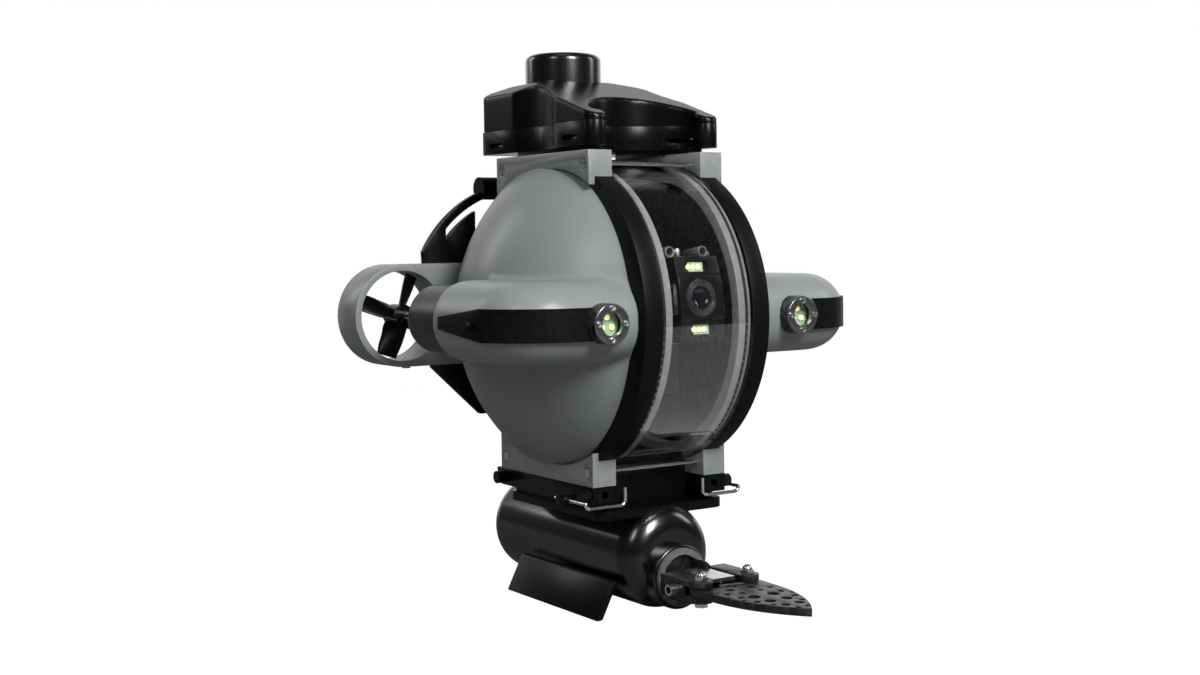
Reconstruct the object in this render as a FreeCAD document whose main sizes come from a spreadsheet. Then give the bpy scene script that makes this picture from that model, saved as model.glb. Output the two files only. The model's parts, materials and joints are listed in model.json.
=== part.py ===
import FreeCAD, Part
import Sketcher
import math
import os
import re

from FreeCAD import Placement, Rotation, Vector

doc = FreeCAD.newDocument("InspectionRov")

# ---------------------------------------------------------------- driving dimensions (mm, degrees, counts)
# Every place is counted from the hull centre: X to port, Y to the stern, Z up.
SIZES = {
    # place of the hull centre over the middle of the footprint
    "hull_rise": 225, "hull_setback": 34.95,
    # window ring, bands and seat rings
    "ring_radius": 118, "window_wall": 6, "window_half": 40.7, "band_width": 15.3, "band_depth": 18,
    "seat_width": 10.7, "seat_wall": 8, "seat_gap": 0.3, "seal_width": 2.4, "seal_depth": 2,
    "bulkhead_thick": 6,
    # dome castings
    "dome_height": 60, "dome_stretch": 18, "dome_wall": 5,
    # ears of the castings and the tie bolts between them
    "ear_inner": 40.4, "ear_outer": 61.2, "ear_front": 54.3, "ear_rear": 83, "ear_height": 125,
    "ear_gap": 0.3,
    "tie_radius": 1.6, "tie_front": 46.4, "tie_rear": 74.8, "tie_height": 115, "tie_head_radius": 4.2,
    "tie_recess_radius": 4.8, "tie_recess_depth": 4,
    # thruster pods
    "pod_reach": 133, "pod_radius": 30, "pod_root": 101, "pod_rear": 4, "pod_front": 111, "pod_shoulder": 60,
    "pod_nose_radius": 56, "pod_nose_reach": 112, "can_radius": 26, "can_gap": 0.3,
    "can_seat": 28, "can_run": 6, "pocket_wall": 4, "can_rear": 53, "can_edge": 5, "shaft_radius": 4,
    "running_gap": 0.06, "shaft_seat": 24, "shaft_lift": 1, "pod_inset": 4,
    # bumper pads on the pods
    "pad_thick": 2, "pad_half": 11.7, "pad_tail_half": 4.5, "pad_tail": 11, "pad_knee": 68, "pad_gap": 1,
    "stud_radius": 3.5, "stud_height": 3.6, "stud_place": 58,
    # lights
    "light_reach": 86, "light_radius": 14.5, "light_face": 121, "light_seat": 97, "light_gap": 0.2,
    "retainer_thick": 2.6, "light_opening": 8, "glass_radius": 9.8, "glass_thick": 2.5, "board_radius": 9.6,
    "board_thick": 1.5, "board_depth": 9, "led_height": 1.2, "led_radius": 1.9, "led_circle": 4.6, 
    "light_screw_radius": 1.9, "light_screw_circle": 11.2, "light_screw_height": 1.7,
    # shrouds and propellers
    "shroud_bore": 36, "shroud_wall": 5, "shroud_front": 111, "shroud_rear": 146, "propeller_radius": 34,
    "web_inset": 8, "hub_radius": 9, "hub_front": 110, "hub_rear": 128, "blade_count": 4, "blade_start": 20,
    "blade_root": 5.4, "blade_chord": 11, "blade_tip_chord": 8, "blade_thick": 2.1, "blade_root_pitch": 58,
    "blade_tip_pitch": 26,
    # rear plate, its carry handle and the tether gland
    "plate_gap": 0, "plate_thick": 6, "handle_radius": 109, "handle_band": 7, "slot_width": 5.4,
    "slot_end": 75,
    "hand_half": 47, "hand_floor": 15, "plate_side": 96.5, "plate_waist": 90, "plate_knee": 46,
    "plate_slant": 88, "plate_foot": 45, "screw_reach": 84, "screw_rise": 33, "screw_radius": 3.4,
    "screw_height": 2.4, "grip_radius": 9.5, "grip_half": 42, "gland_rise": 104, "gland_radius": 6,
    "gland_length": 13, "gland_bore": 3.2,
    # sonar unit on top
    "tray_half": 60, "tray_front": 56, "tray_rear": 107, "tray_lift": 3.5, "tray_top": 147, "cover_nose": 153,
    "cover_peak": 188, "cover_tail": 179, "cover_shoulder": 12, "scallop_radius": 50, "scallop_centre": 52,
    "side_scallop_radius": 75, "side_scallop_depth": 7, "side_scallop_centre": 26, "knuckle_radius": 8.5,
    "knuckle_back": 9, "boot_radius": 31, "boot_place": 78, "boot_top": 22, "boot_seat": 12, "boot_wall": 3,
    "boot_edge": 6, "sonar_radius": 24, "sonar_gap": 1.2, "roof_arc": 900, "tail_arc": 160, "crown_arc": 160,
    "tray_foot_front": 40, "tray_foot_rear": 63, "tray_slot_front": 36, "tray_slot_rear": 76,
    "tray_slot_length": 20, "tray_slot_height": 3.6, "tray_slot_rise": 5, "tray_slot_inner": 30,
    "tray_pin_radius": 1.5, "tray_pin_inset": 6,
    # rails, knobs and locking pins
    "rail_height": 13.5, "rail_rear": 90, "rail_step": 7, "rail_hole": 3, "rail_hole_depth": 18,
    "rail_pad_radius": 6, "knob_radius": 5, "knob_height": 8, "knob_front": 48, "knob_rear": 78,
    "wire_radius": 1.4, "wire_bend": 4, "wire_inner": 36, "wire_outer": 71, "wire_place": 59,
    "wire_rise": 126,
    "wire_drop": 135.5, "wire_run": 42, "lug_front": 34, "lug_length": 10, "spacer_front": 42,
    "spacer_rear": 66,
    # gripper mount, body and feet
    "mount_top": 143, "mount_thick": 7, "mount_half": 58, "mount_front": 60, "mount_rear": 80,
    "mount_corner": 12, "saddle_half": 36, "saddle_front": 36, "saddle_rear": 70, "saddle_top": 108,
    "saddle_gap": 1, "gripper_drop": 182, "gripper_radius": 40.5, "gripper_rear": 146, "gripper_front": 70,
    "gripper_edge": 20, "wrist_drop": 195, "collar_radius": 24.5, "collar_front": 79, "collar_edge": 2,
    "ring_outer": 22, "ring_height": 2.5, "ring_seat": 3, "nose_radius": 17, "nose_gap": 0.3, "nose_seat": 58,
    "rod_well": 20, "foot_front": 55, "foot_rear": 80, "foot_slope": 12, "foot_half": 60, "foot_root": 42,
    "foot_thick": 6,
    "foot_top": 190, "foot_lap": 34.4,
    # wrist yoke, push rod and jaws
    "hub_plate": 98, "arm_inner": 12.5, "arm_outer": 29.5, "arm_thick": 4.6, "arm_root": 4, "yoke_boss": 8.5,
    "yoke_slot": 20, "pivot_half": 21, "pivot_place": 132.5, "pivot_boss": 8, "jaw_mid": 1.7,
    "jaw_thick": 5.4, "jaw_gap": 0.4, "bolt_radius": 3,
    "bolt_gap": 0.08, "cross_place": 115.2, "cross_radius": 4, "cross_bore": 2.7, "cross_half": 37.5,
    "rod_radius": 5, "rod_gap": 0.2, "rod_back": 62, "riser_length": 8, "blade_half": 10, "blade_height": 3,
    "drive_radius": 2.5, "drive_swing": 15, "slot_gap": 0.25, "lap_gap": 0.25,
    "slot_back": 14, "slot_ahead": 9, "jaw_tip": 228.4, "jaw_half": 28, "jaw_widest": 152, "jaw_root": 4,
    "jaw_split": 0.2, "jaw_arc": 118, "jaw_arm_half": 6.5,
    "nut_radius": 5.2, "nut_height": 5, "head_radius": 5, "head_height": 3.4,
    # camera head and pitch ballast inside the window
    "camera_reach": 108, "camera_depth": 22, "camera_half": 19.5, "camera_height": 60, "camera_tilt": 8.2,
    "cheek_thick": 3, "cheek_half": 11, "axle_radius": 4, "boss_radius": 13, "boss_length": 12,
    "cheek_lead": 4, "cheek_tail": 18, "axle_gap": 1, "lens_radius": 8.5, "lens_depth": 6, "lens_step": 2,
    "bezel_step": 0.8, "lens_ring_radius": 13.5, "led_bar_half": 11, "led_bar_radius": 4.2,
    "led_bar_place": 22.5,
    "led_bar_depth": 4, "camera_board": 1, "chip_radius": 1.7, "chip_pitch": 4.5, "chip_offset": 2.6,
    "laser_radius": 4.3, "laser_bore": 3, "laser_half": 15, "laser_rise": 35, "laser_length": 20,
    "laser_back": 74, "laser_shelf": 14, "ballast_outer": 78.5, "ballast_inner": 42, "ballast_half": 18,
    "ballast_span": 52, "hanger_half": 5, "hanger_lap": 6, "hanger_eye": 9.6,
    # battery packs in the domes
    "battery_length": 110, "battery_height": 88, "battery_depth": 22, "battery_gap": 0.3,
}

# round holes of a jaw: across from the middle, ahead of the pivot, radius
JAW_HOLES = [(8.5, 45, 4.6), (19.5, 28, 2.4), (17.5, 42, 2.6), (8, 31, 2.2), (7.4, 61, 4.2), (16.8, 58, 2.6),
             (6, 76, 3.4), (12.6, 71, 2), (4.2, 87, 2), (21.6, 49.5, 1.7), (9, 18, 3)]
for number, hole in enumerate(JAW_HOLES, start=1):
    for what, size in zip(("across", "ahead", "radius"), hole):
        SIZES["jaw_hole_%d_%s" % (number, what)] = size

sizes = doc.addObject("Spreadsheet::Sheet", "Sizes")
for row, (alias, number) in enumerate(SIZES.items(), start=1):
    sizes.set("A%d" % row, alias.replace("_", " "))
    sizes.set("B%d" % row, str(number))
    sizes.setAlias("B%d" % row, alias)
doc.recompute()

# sizes that follow from the driving ones, written out wherever they are used
DERIVED = {
    "dome_base": "(window_half + band_width)",
    "sphere_radius": "((dome_height ^ 2 + ring_radius ^ 2) / (2 * dome_height))",
    "sphere_centre": "(dome_base + dome_height - sphere_radius)",
    "shroud_radius": "(shroud_bore + shroud_wall)",
    "plate_front": "(shroud_rear + plate_gap)",
    "plate_rear": "(plate_front + plate_thick)",
    "tray_low": "(ear_height + tray_lift)",
    "boot_low": "(cover_peak - boot_seat)",
    "boot_high": "(cover_peak + boot_top)",
    "rail_low": "(ear_height + rail_height)",
    "stud_reach": "(pod_reach + pod_radius + pad_thick)",
    "window_bore": "(ring_radius - window_wall)",
    "ear_middle": "((ear_inner + ear_outer) / 2)",
    "shroud_screw": "(pod_reach - 3 * screw_radius)",
    "shroud_middle": "((shroud_front + shroud_rear) / 2)",
    "drive_lever": "(pivot_half * tan(drive_swing))",
    "drive_place": "(pivot_place - drive_lever)",
    "jaw_drop": "(wrist_drop - jaw_mid)",
    "jaw_top": "(jaw_drop - jaw_thick / 2)",
    "jaw_low": "(jaw_drop + jaw_thick / 2)",
    "rod_front": "(cross_place - cross_radius - 2 * rod_gap - 2 * drive_lever)",
}
WORD = re.compile(r"[A-Za-z_][A-Za-z_0-9]*")


def full(expression):
    """The expression with its derived sizes written out and each alias named with its sheet."""
    text = str(expression)
    while any(word in DERIVED for word in WORD.findall(text)):
        text = WORD.sub(lambda found: DERIVED.get(found.group(), found.group()), text)
    return WORD.sub(lambda found: "Sizes." + found.group() if found.group() in SIZES else found.group(), text)


def value(expression):
    """The number that an expression gives now."""
    return float(sizes.evalExpression(full(expression)))


def bind(obj, **properties):
    """Ties each property of the object to its expression."""
    for name, expression in properties.items():
        obj.setExpression(name.replace("__", "."), full(expression))


# ---------------------------------------------------------------- primitives and booleans
ALONG_X = Rotation(Vector(0, 1, 0), 90)
ALONG_Y = Rotation(Vector(1, 0, 0), -90)
ALONG_Z = Rotation()
TURN = {"x": ALONG_X, "y": ALONG_Y, "z": ALONG_Z}


def primitive(kind, turn, base, **properties):
    """A Part primitive at a bound place with bound sizes."""
    obj = doc.addObject("Part::" + kind, kind)
    obj.Placement = Placement(Vector(0, 0, 0), turn)
    for name, expression in zip("xyz", base):
        obj.setExpression(".Placement.Base." + name, full(expression))
    bind(obj, **properties)
    return obj


def block(x, y, z):
    """A box between two limits on each axis."""
    return primitive("Box", ALONG_Z, (x[0], y[0], z[0]),
                     Length="(%s) - (%s)" % (x[1], x[0]), Width="(%s) - (%s)" % (y[1], y[0]),
                     Height="(%s) - (%s)" % (z[1], z[0]))


def rod(axis, centre, limits, radius):
    """A cylinder along an axis between two limits; centre holds its other two coordinates in order."""
    base = list(centre)
    base.insert("xyz".index(axis), limits[0])
    return primitive("Cylinder", TURN[axis], base, Radius=radius,
                     Height="(%s) - (%s)" % (limits[1], limits[0]))


def hexagon(axis, centre, limits, radius):
    """A hexagonal prism along an axis between two limits."""
    base = list(centre)
    base.insert("xyz".index(axis), limits[0])
    prism = primitive("Prism", TURN[axis], base, Circumradius=radius,
                      Height="(%s) - (%s)" % (limits[1], limits[0]))
    prism.Polygon = 6
    return prism


def ball(centre, radius):
    return primitive("Sphere", ALONG_Z, centre, Radius=radius)


def cut(base, *tools):
    """The base with each tool taken away."""
    result = base
    for tool in tools:
        boolean = doc.addObject("Part::Cut", "Cut")
        boolean.Base = result
        boolean.Tool = tool
        result = boolean
    return result


def fuse(*shapes):
    boolean = doc.addObject("Part::MultiFuse", "Fusion")
    boolean.Shapes = list(shapes)
    return boolean


def common(*shapes):
    boolean = doc.addObject("Part::MultiCommon", "Common")
    boolean.Shapes = list(shapes)
    return boolean


def group(*shapes):
    """Separate solids kept as one node."""
    compound = doc.addObject("Part::Compound", "Group")
    compound.Links = list(shapes)
    return compound


def tube(axis, centre, limits, outer, inner):
    return cut(rod(axis, centre, limits, outer), rod(axis, centre, limits, inner))


# ---------------------------------------------------------------- sketched bodies
NORMAL = {"XY_Plane": 1, "XZ_Plane": -1, "YZ_Plane": 1}


def arc_centre(start, end, radius, side):
    """The centre of the short arc between two points; side +1 puts it left of the way from start to end."""
    middle = (start + end) * 0.5
    chord = end - start
    height = math.sqrt(max(radius * radius - chord.Length ** 2 / 4, 0))
    left = Vector(-chord.y, chord.x, 0).normalize()
    return middle + left * height * side


def draw_loop(sketch, corners):
    """Draws a closed outline whose corners and arc radii are tied to the sheet.

    A corner is (x, y) at the end of a straight line, or (x, y, radius, side) at the end of an arc.
    """
    points = [Vector(value(corner[0]), value(corner[1]), 0) for corner in corners]
    first = sketch.GeometryCount
    ends = []
    for number, corner in enumerate(corners):
        start, end = points[number - 1], points[number]
        if len(corner) == 2:
            sketch.addGeometry(Part.LineSegment(start, end))
            ends.append((1, 2))
            continue
        radius, side = value(corner[2]), corner[3]
        centre = arc_centre(start, end, radius, side)
        angles = [math.atan2(point.y - centre.y, point.x - centre.x) for point in (start, end)]
        if side < 0:
            angles.reverse()
        circle = Part.Circle(centre, Vector(0, 0, 1), radius)
        sketch.addGeometry(Part.ArcOfCircle(circle, angles[0], angles[1]))
        ends.append((1, 2) if side > 0 else (2, 1))
    for number, corner in enumerate(corners):
        geometry = first + number
        following = first + (number + 1) % len(corners)
        sketch.addConstraint(Sketcher.Constraint("Coincident", geometry, ends[number][1], following,
                                                 ends[(number + 1) % len(corners)][0]))
        for kind, axis in (("DistanceX", 0), ("DistanceY", 1)):
            index = sketch.addConstraint(Sketcher.Constraint(kind, -1, 1, geometry, ends[number][1],
                                                             points[number][axis]))
            sketch.setExpression("Constraints[%d]" % index, full(corner[axis]))
        if len(corner) == 4:
            index = sketch.addConstraint(Sketcher.Constraint("Radius", geometry, value(corner[2])))
            sketch.setExpression("Constraints[%d]" % index, full(corner[2]))


def draw_circle(sketch, across, up, radius):
    centre = Vector(value(across), value(up), 0)
    geometry = sketch.addGeometry(Part.Circle(centre, Vector(0, 0, 1), value(radius)))
    for kind, expression, number in (("DistanceX", across, centre.x), ("DistanceY", up, centre.y)):
        index = sketch.addConstraint(Sketcher.Constraint(kind, -1, 1, geometry, 3, number))
        sketch.setExpression("Constraints[%d]" % index, full(expression))
    index = sketch.addConstraint(Sketcher.Constraint("Radius", geometry, value(radius)))
    sketch.setExpression("Constraints[%d]" % index, full(radius))


def sketched(plane, height, loops):
    """A new body with a sketch of the given loops on one of its origin planes."""
    body = doc.addObject("PartDesign::Body", "Body")
    sketch = body.newObject("Sketcher::SketchObject", "Sketch")
    origin_plane = next(item for item in body.Origin.OriginFeatures if item.Role == plane)
    sketch.AttachmentSupport = (origin_plane, "")
    sketch.MapMode = "FlatFace"
    if str(height) != "0":
        sketch.setExpression(".AttachmentOffset.Base.z", full(height))
    for loop in loops:
        if loop[0] == "circle":
            draw_circle(sketch, *loop[1:])
        else:
            draw_loop(sketch, loop)
    return body, sketch


def slab(plane, limits, *loops):
    """Loops drawn on a plane and padded between two limits along the plane's own world axis."""
    low, high = limits
    height = low if NORMAL[plane] > 0 else "-(%s)" % high
    body, sketch = sketched(plane, height, loops)
    pad = body.newObject("PartDesign::Pad", "Pad")
    pad.Profile = sketch
    bind(pad, Length="(%s) - (%s)" % (high, low))
    return body


def rounded(body, radius, chosen):
    """Rounds the edges of the body's last feature that the test picks."""
    doc.recompute()
    base = body.Tip
    names = ["Edge%d" % number for number, edge in enumerate(base.Shape.Edges, start=1) if chosen(edge)]
    fillet = body.newObject("PartDesign::Fillet", "Fillet")
    fillet.Base = (base, names)
    bind(fillet, Radius=radius)
    return body


# ---------------------------------------------------------------- nodes
nodes = []


def node(label, obj, lift=None):
    """Names a finished sub-part and puts it at the hull centre's place, its front lifted by an angle."""
    if obj.TypeId in ("Part::Cylinder", "Part::Box"):
        obj = group(obj)
    obj.Label = label
    if lift is not None:
        obj.Placement = Placement(Vector(0, 0, 0), Rotation(Vector(-1, 0, 0), value(lift)))
        obj.setExpression(".Placement.Rotation.Angle", full(lift))
    obj.setExpression(".Placement.Base.y", full("hull_setback"))
    obj.setExpression(".Placement.Base.z", full("hull_rise"))
    nodes.append(obj)
    return obj


def reflected(source):
    """The same shape on the other side of the middle plane."""
    twin = doc.addObject("Part::Mirroring", "Mirror")
    twin.Source = source
    twin.Normal = Vector(1, 0, 0)
    return twin


def pair(name, obj):
    """A port sub-part and its starboard twin."""
    twin = reflected(node(name + "_port", obj))
    twin.Label = name + "_starboard"
    nodes.append(twin)


def both_sides(build):
    """Solids built on the port side and again on the starboard side."""
    return build("") + build("-")


# ---------------------------------------------------------------- window ring
def window_parts():
    node("window_ring", tube("x", ("0", "0"), ("-window_half", "window_half"), "ring_radius", "window_bore"))
    pair("band", tube("x", ("0", "0"), ("window_half", "dome_base"), "ring_radius",
                      "ring_radius - band_depth"))
    seat_outer = "window_bore - seat_gap"
    groove_middle = "window_half - seat_width / 3"
    groove = ("%s - seal_width / 2" % groove_middle, "%s + seal_width / 2" % groove_middle)
    seat = tube("x", ("0", "0"), ("window_half - seat_width", "window_half"), seat_outer,
                seat_outer + " - seat_wall")
    pair("window_seat", cut(seat, tube("x", ("0", "0"), groove, "ring_radius", seat_outer + " - seal_depth")))
    seals = [tube("x", ("0", "0"), limits, "window_bore", seat_outer + " - seal_depth")
             for limits in (groove, ("-(%s)" % groove[1], "-(%s)" % groove[0]))]
    node("window_seals", group(*seals))
    disc = fuse(rod("x", ("0", "0"), ("window_half", "window_half + bulkhead_thick"),
                    "ring_radius - band_depth"),
                rod("x", ("0", "0"), ("window_half - boss_length", "window_half"), "boss_radius"))
    bearing = rod("x", ("0", "0"), ("window_half - boss_length", "window_half"), "axle_radius + running_gap")
    plate = cut(disc, bearing)
    node("bulkheads", group(plate, reflected(plate)))


# ---------------------------------------------------------------- dome castings
def dome_solid(shrink):
    """A spherical cap, drawn out towards the stern, whose surface lies shrink inside the outer one."""
    radius = "sphere_radius - %s" % shrink
    start = ("sphere_centre", "0", "0")
    front = primitive("Sphere", Rotation(Vector(0, 0, 1), 180), start, Radius=radius)
    front.Angle3 = 180
    rear = primitive("Sphere", Rotation(), ("sphere_centre", "dome_stretch", "0"), Radius=radius)
    rear.Angle3 = 180
    middle = rod("y", ("sphere_centre", "0"), ("0", "dome_stretch"), radius)
    beyond = block(("dome_base", "dome_base + sphere_radius"), ("-2 * ring_radius", "2 * ring_radius"),
                   ("-2 * ring_radius", "2 * ring_radius"))
    return common(fuse(front, middle, rear), beyond)


def obround(reach, limits, radius, root):
    """A stadium section in the cross plane, drawn along Y."""
    return fuse(rod("y", (reach, "0"), limits, radius), rod("y", (root, "0"), limits, radius),
                block((root, reach), limits, ("-(%s)" % radius, radius)))


def pod_solid(grow):
    """The thruster pod, grown outwards by an amount; its nose sweeps round to the light."""
    side = "pod_reach + pod_radius + %s" % grow
    front = "-pod_front - %s" % grow
    rear = "pod_rear"
    plan = slab("XY_Plane", ("-pod_radius - %s" % grow, "pod_radius + %s" % grow),
                [("dome_base + pod_inset", rear), (side, rear), (side, "-pod_shoulder"),
                 ("pod_nose_reach", front, "pod_nose_radius + %s" % grow, -1),
                 ("dome_base + pod_inset", front)])
    section = obround("pod_reach", ("-pod_front - %s" % grow, rear), "pod_radius + %s" % grow, "pod_root")
    return common(section, plan)


def castings():
    ear = cut(block(("ear_inner", "ear_outer"), ("-ear_front", "ear_rear"), ("-ear_height", "ear_height")),
              rod("x", ("0", "0"), ("0", "dome_base"), "ring_radius + ear_gap"),
              rod("x", ("0", "0"), ("dome_base", "ear_outer"), "ring_radius - dome_wall"))
    pocket = common(rod("y", ("pod_reach", "0"), ("-can_seat - pocket_wall",
                                                  "can_rear + can_run + pocket_wall"),
                        "can_radius + can_gap + pocket_wall"), dome_solid("0"))
    tools = [rod("y", ("pod_reach", "0"), ("-can_seat", "can_rear + can_run"), "can_radius + can_gap"),
             rod("y", ("light_reach", "0"), ("-light_face", "-light_seat"), "light_radius + light_gap"),
             rod("y", ("ear_middle", "gland_rise"), ("ear_rear - gland_length", "ear_rear"),
                 "gland_radius")]
    for height in ("tie_height", "-tie_height"):
        for place in ("-tie_front", "tie_rear"):
            tools.append(rod("x", (place, height), ("ear_inner", "ear_outer"), "tie_radius"))
            tools.append(rod("x", (place, height), ("ear_outer - tie_recess_depth",
                                                    "ear_outer + dome_height"),
                             "tie_recess_radius"))
    shell = cut(fuse(dome_solid("0"), pod_solid("0"), ear), dome_solid("dome_wall"))
    pair("hull_dome", cut(fuse(shell, pocket), *tools))

    def bolts(place, height):
        head = ("ear_outer - tie_recess_depth", "ear_outer")
        ends = [hexagon("x", (place, height), head, "tie_head_radius"),
                hexagon("x", (place, height), ("-(%s)" % head[1], "-(%s)" % head[0]), "tie_head_radius")]
        return fuse(rod("x", (place, height), ("-ear_outer + tie_recess_depth / 2",
                                               "ear_outer - tie_recess_depth / 2"), "tie_radius"), *ends)

    node("tie_bolts", group(*[bolts(place, height) for place in ("-tie_front", "tie_rear")
                              for height in ("tie_height", "-tie_height")]))
    gland = rod("y", ("ear_middle", "gland_rise"),
                ("ear_rear - gland_length", "ear_rear + gland_length"), "gland_radius")
    nut = hexagon("y", ("ear_middle", "gland_rise"),
                  ("ear_rear", "ear_rear + gland_length / 2"), "gland_radius * 1.3")
    node("tether_gland", cut(fuse(gland, nut), rod("y", ("ear_middle", "gland_rise"),
                                                   ("ear_rear - gland_length", "ear_rear + 2 * gland_length"),
                                                   "gland_bore")))
    battery = block(("window_half + bulkhead_thick + battery_gap",
                     "window_half + bulkhead_thick + battery_gap + battery_depth"),
                    ("dome_stretch / 2 - battery_length / 2", "dome_stretch / 2 + battery_length / 2"),
                    ("-battery_height / 2", "battery_height / 2"))
    node("battery_packs", group(battery, reflected(battery)))


def pads():
    outline = slab("YZ_Plane", ("light_reach", "pod_reach + 2 * pod_radius"),
                   [("-pad_tail", "-pad_tail_half"), ("-pad_tail", "pad_tail_half"),
                    ("-pad_knee", "pad_half"), ("-pod_front - 2 * pad_thick", "pad_half"),
                    ("-pod_front - 2 * pad_thick", "-pad_half"), ("-pad_knee", "-pad_half")])
    keep_off = rod("y", ("light_reach", "0"), ("-light_face - light_radius", "0"), "light_radius + pad_gap")
    pair("pod_pad", cut(common(outline, pod_solid("pad_thick")), pod_solid("0"), keep_off))
    stud = rod("x", ("-stud_place", "0"), ("stud_reach", "stud_reach + stud_height"), "stud_radius")
    node("pad_studs", group(stud, reflected(stud)))


# ---------------------------------------------------------------- lights
def lights():
    def housing(side):
        centre = (side + "light_reach", "0")
        face = "-light_face + retainer_thick"
        shell = rod("y", centre, (face, "-light_seat"), "light_radius")
        glass_seat = rod("y", centre, (face, face + " + glass_thick"), "glass_radius")
        board_seat = rod("y", centre, (face, "-light_face + board_depth + board_thick"), "board_radius")
        return [cut(shell, glass_seat, board_seat)]

    def retainer(side):
        return [tube("y", (side + "light_reach", "0"), ("-light_face", "-light_face + retainer_thick"),
                     "light_radius", "light_opening")]

    def glass(side):
        face = "-light_face + retainer_thick"
        return [rod("y", (side + "light_reach", "0"), (face, face + " + glass_thick"), "board_radius")]

    def board(side):
        back = "-light_face + board_depth"
        return [rod("y", (side + "light_reach", "0"), (back, back + " + board_thick"), "board_radius")]

    def leds(side):
        found = []
        for angle in (90, 210, 330):
            centre = (side + "light_reach + led_circle * cos(%d)" % angle, "led_circle * sin(%d)" % angle)
            found.append(rod("y", centre, ("-light_face + board_depth - led_height",
                                           "-light_face + board_depth"),
                             "led_radius"))
        return found

    def screws(side):
        found = []
        for angle in (0, 90, 180, 270):
            centre = (side + "light_reach + light_screw_circle * cos(%d)" % angle,
                      "light_screw_circle * sin(%d)" % angle)
            found.append(rod("y", centre, ("-light_face - light_screw_height", "-light_face"),
                             "light_screw_radius"))
        return found

    for label, build in (("light_housings", housing), ("light_retainers", retainer), ("light_windows", glass),
                         ("light_boards", board), ("light_leds", leds), ("light_screws", screws)):
        node(label, group(*both_sides(build)))


# ---------------------------------------------------------------- thrusters
def propeller():
    """Hub with twisted blades, each lofted through ellipses that turn and narrow towards the tip."""
    count = round(value("blade_count"))
    parts = [rod("y", ("pod_reach", "0"), ("hub_front", "hub_rear"), "hub_radius"),
             primitive("Sphere", ALONG_Z, ("pod_reach", "hub_rear", "0"), Radius="hub_radius")]
    middle = "(hub_front + hub_rear) / 2"
    for number in range(count):
        sections = []
        for share in (0, 1 / 3, 2 / 3, 1):
            place = "blade_root + (propeller_radius - blade_root) * %s" % share
            section = doc.addObject("Part::Ellipse", "Section")
            pitch = value("blade_root_pitch + (blade_tip_pitch - blade_root_pitch) * %s" % share)
            radial = number * 360 / count + value("blade_start")
            turn = Rotation(Vector(0, 1, 0), -radial)
            lean = Rotation(Vector(1, 0, 0), 90 - pitch)
            section.Placement = Placement(Vector(0, 0, 0), turn * lean * Rotation(Vector(0, 1, 0), 90)
                                          * Rotation(Vector(0, 0, 1), 90))
            section.setExpression(".Placement.Base.x", full("pod_reach + (%s) * cos(%s)" % (place, radial)))
            section.setExpression(".Placement.Base.y", full(middle))
            section.setExpression(".Placement.Base.z", full("(%s) * sin(%s)" % (place, radial)))
            bind(section, MajorRadius="blade_chord + (blade_tip_chord - blade_chord) * %s" % share,
                 MinorRadius="blade_thick * (1.1 - 0.5 * %s)" % share)
            sections.append(section)
        blade = doc.addObject("Part::Loft", "Blade")
        blade.Sections = sections
        blade.Solid = True
        parts.append(blade)
    return cut(fuse(*parts), rod("y", ("pod_reach", "0"), ("hub_front", "hub_rear"), "shaft_radius"))


def thrusters():
    seat = "-can_seat"
    can = slab("XZ_Plane", (seat, "can_rear"), ("circle", "pod_reach", "0", "can_radius"))
    rounded(can, "can_edge", lambda edge: edge.BoundBox.YMin > value("can_rear") - 0.1)
    bore = rod("y", ("pod_reach", "0"), ("can_rear - shaft_seat", "can_rear"), "shaft_radius + running_gap")
    pair("thruster_can", cut(can, bore))
    pair("prop_shaft", rod("y", ("pod_reach", "0"), ("can_rear - shaft_seat + shaft_lift", "hub_rear"),
                           "shaft_radius"))
    pair("propeller", propeller())
    web = block(("dome_base + web_inset", "pod_reach"), ("shroud_front", "shroud_rear"),
                ("-shroud_radius", "shroud_radius"))
    ring = fuse(rod("y", ("pod_reach", "0"), ("shroud_front", "shroud_rear"), "shroud_radius"), web)
    duct = rod("y", ("pod_reach", "0"), ("shroud_front", "shroud_rear"), "shroud_bore")
    seat = rod("z", ("shroud_screw", "shroud_middle"),
               ("-shroud_radius - screw_height", "-shroud_bore - shroud_wall / 2"), "screw_radius")
    pair("shroud", cut(ring, duct, dome_solid("0"), seat))


# ---------------------------------------------------------------- rear plate
def rear_parts():
    inner = "handle_radius - handle_band"
    floor = "handle_radius - handle_band - slot_width"

    def on(radius, across, sign=""):
        return (sign + across, "sqrt((%s) ^ 2 - (%s) ^ 2)" % (radius, across))

    outline = [("-plate_waist", "-plate_knee"), on("handle_radius", "plate_side", "-"),
               on("handle_radius", "plate_side") + ("handle_radius", -1), ("plate_waist", "-plate_knee"),
               ("plate_foot", "-plate_slant"), ("-plate_foot", "-plate_slant")]
    hand = [("-hand_half", "hand_floor"), on(floor, "hand_half", "-"),
            on(floor, "slot_end", "-") + (floor, 1), on(inner, "slot_end", "-"),
            on(inner, "slot_end") + (inner, -1), on(floor, "slot_end"), on(floor, "hand_half") + (floor, 1),
            ("hand_half", "hand_floor")]
    plate = slab("XZ_Plane", ("plate_front", "plate_rear"), outline, hand)
    node("rear_plate", plate)
    middle = "handle_radius - handle_band / 2"
    sleeve = rod("x", ("(plate_front + plate_rear) / 2", "sqrt((%s) ^ 2 - (grip_half / 2) ^ 2)" % middle),
                 ("-grip_half", "grip_half"), "grip_radius")
    band = cut(rod("y", ("0", "0"), ("plate_front", "plate_rear"), "handle_radius"),
               rod("y", ("0", "0"), ("plate_front", "plate_rear"), inner))
    node("handle_grip", cut(sleeve, band))


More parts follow.
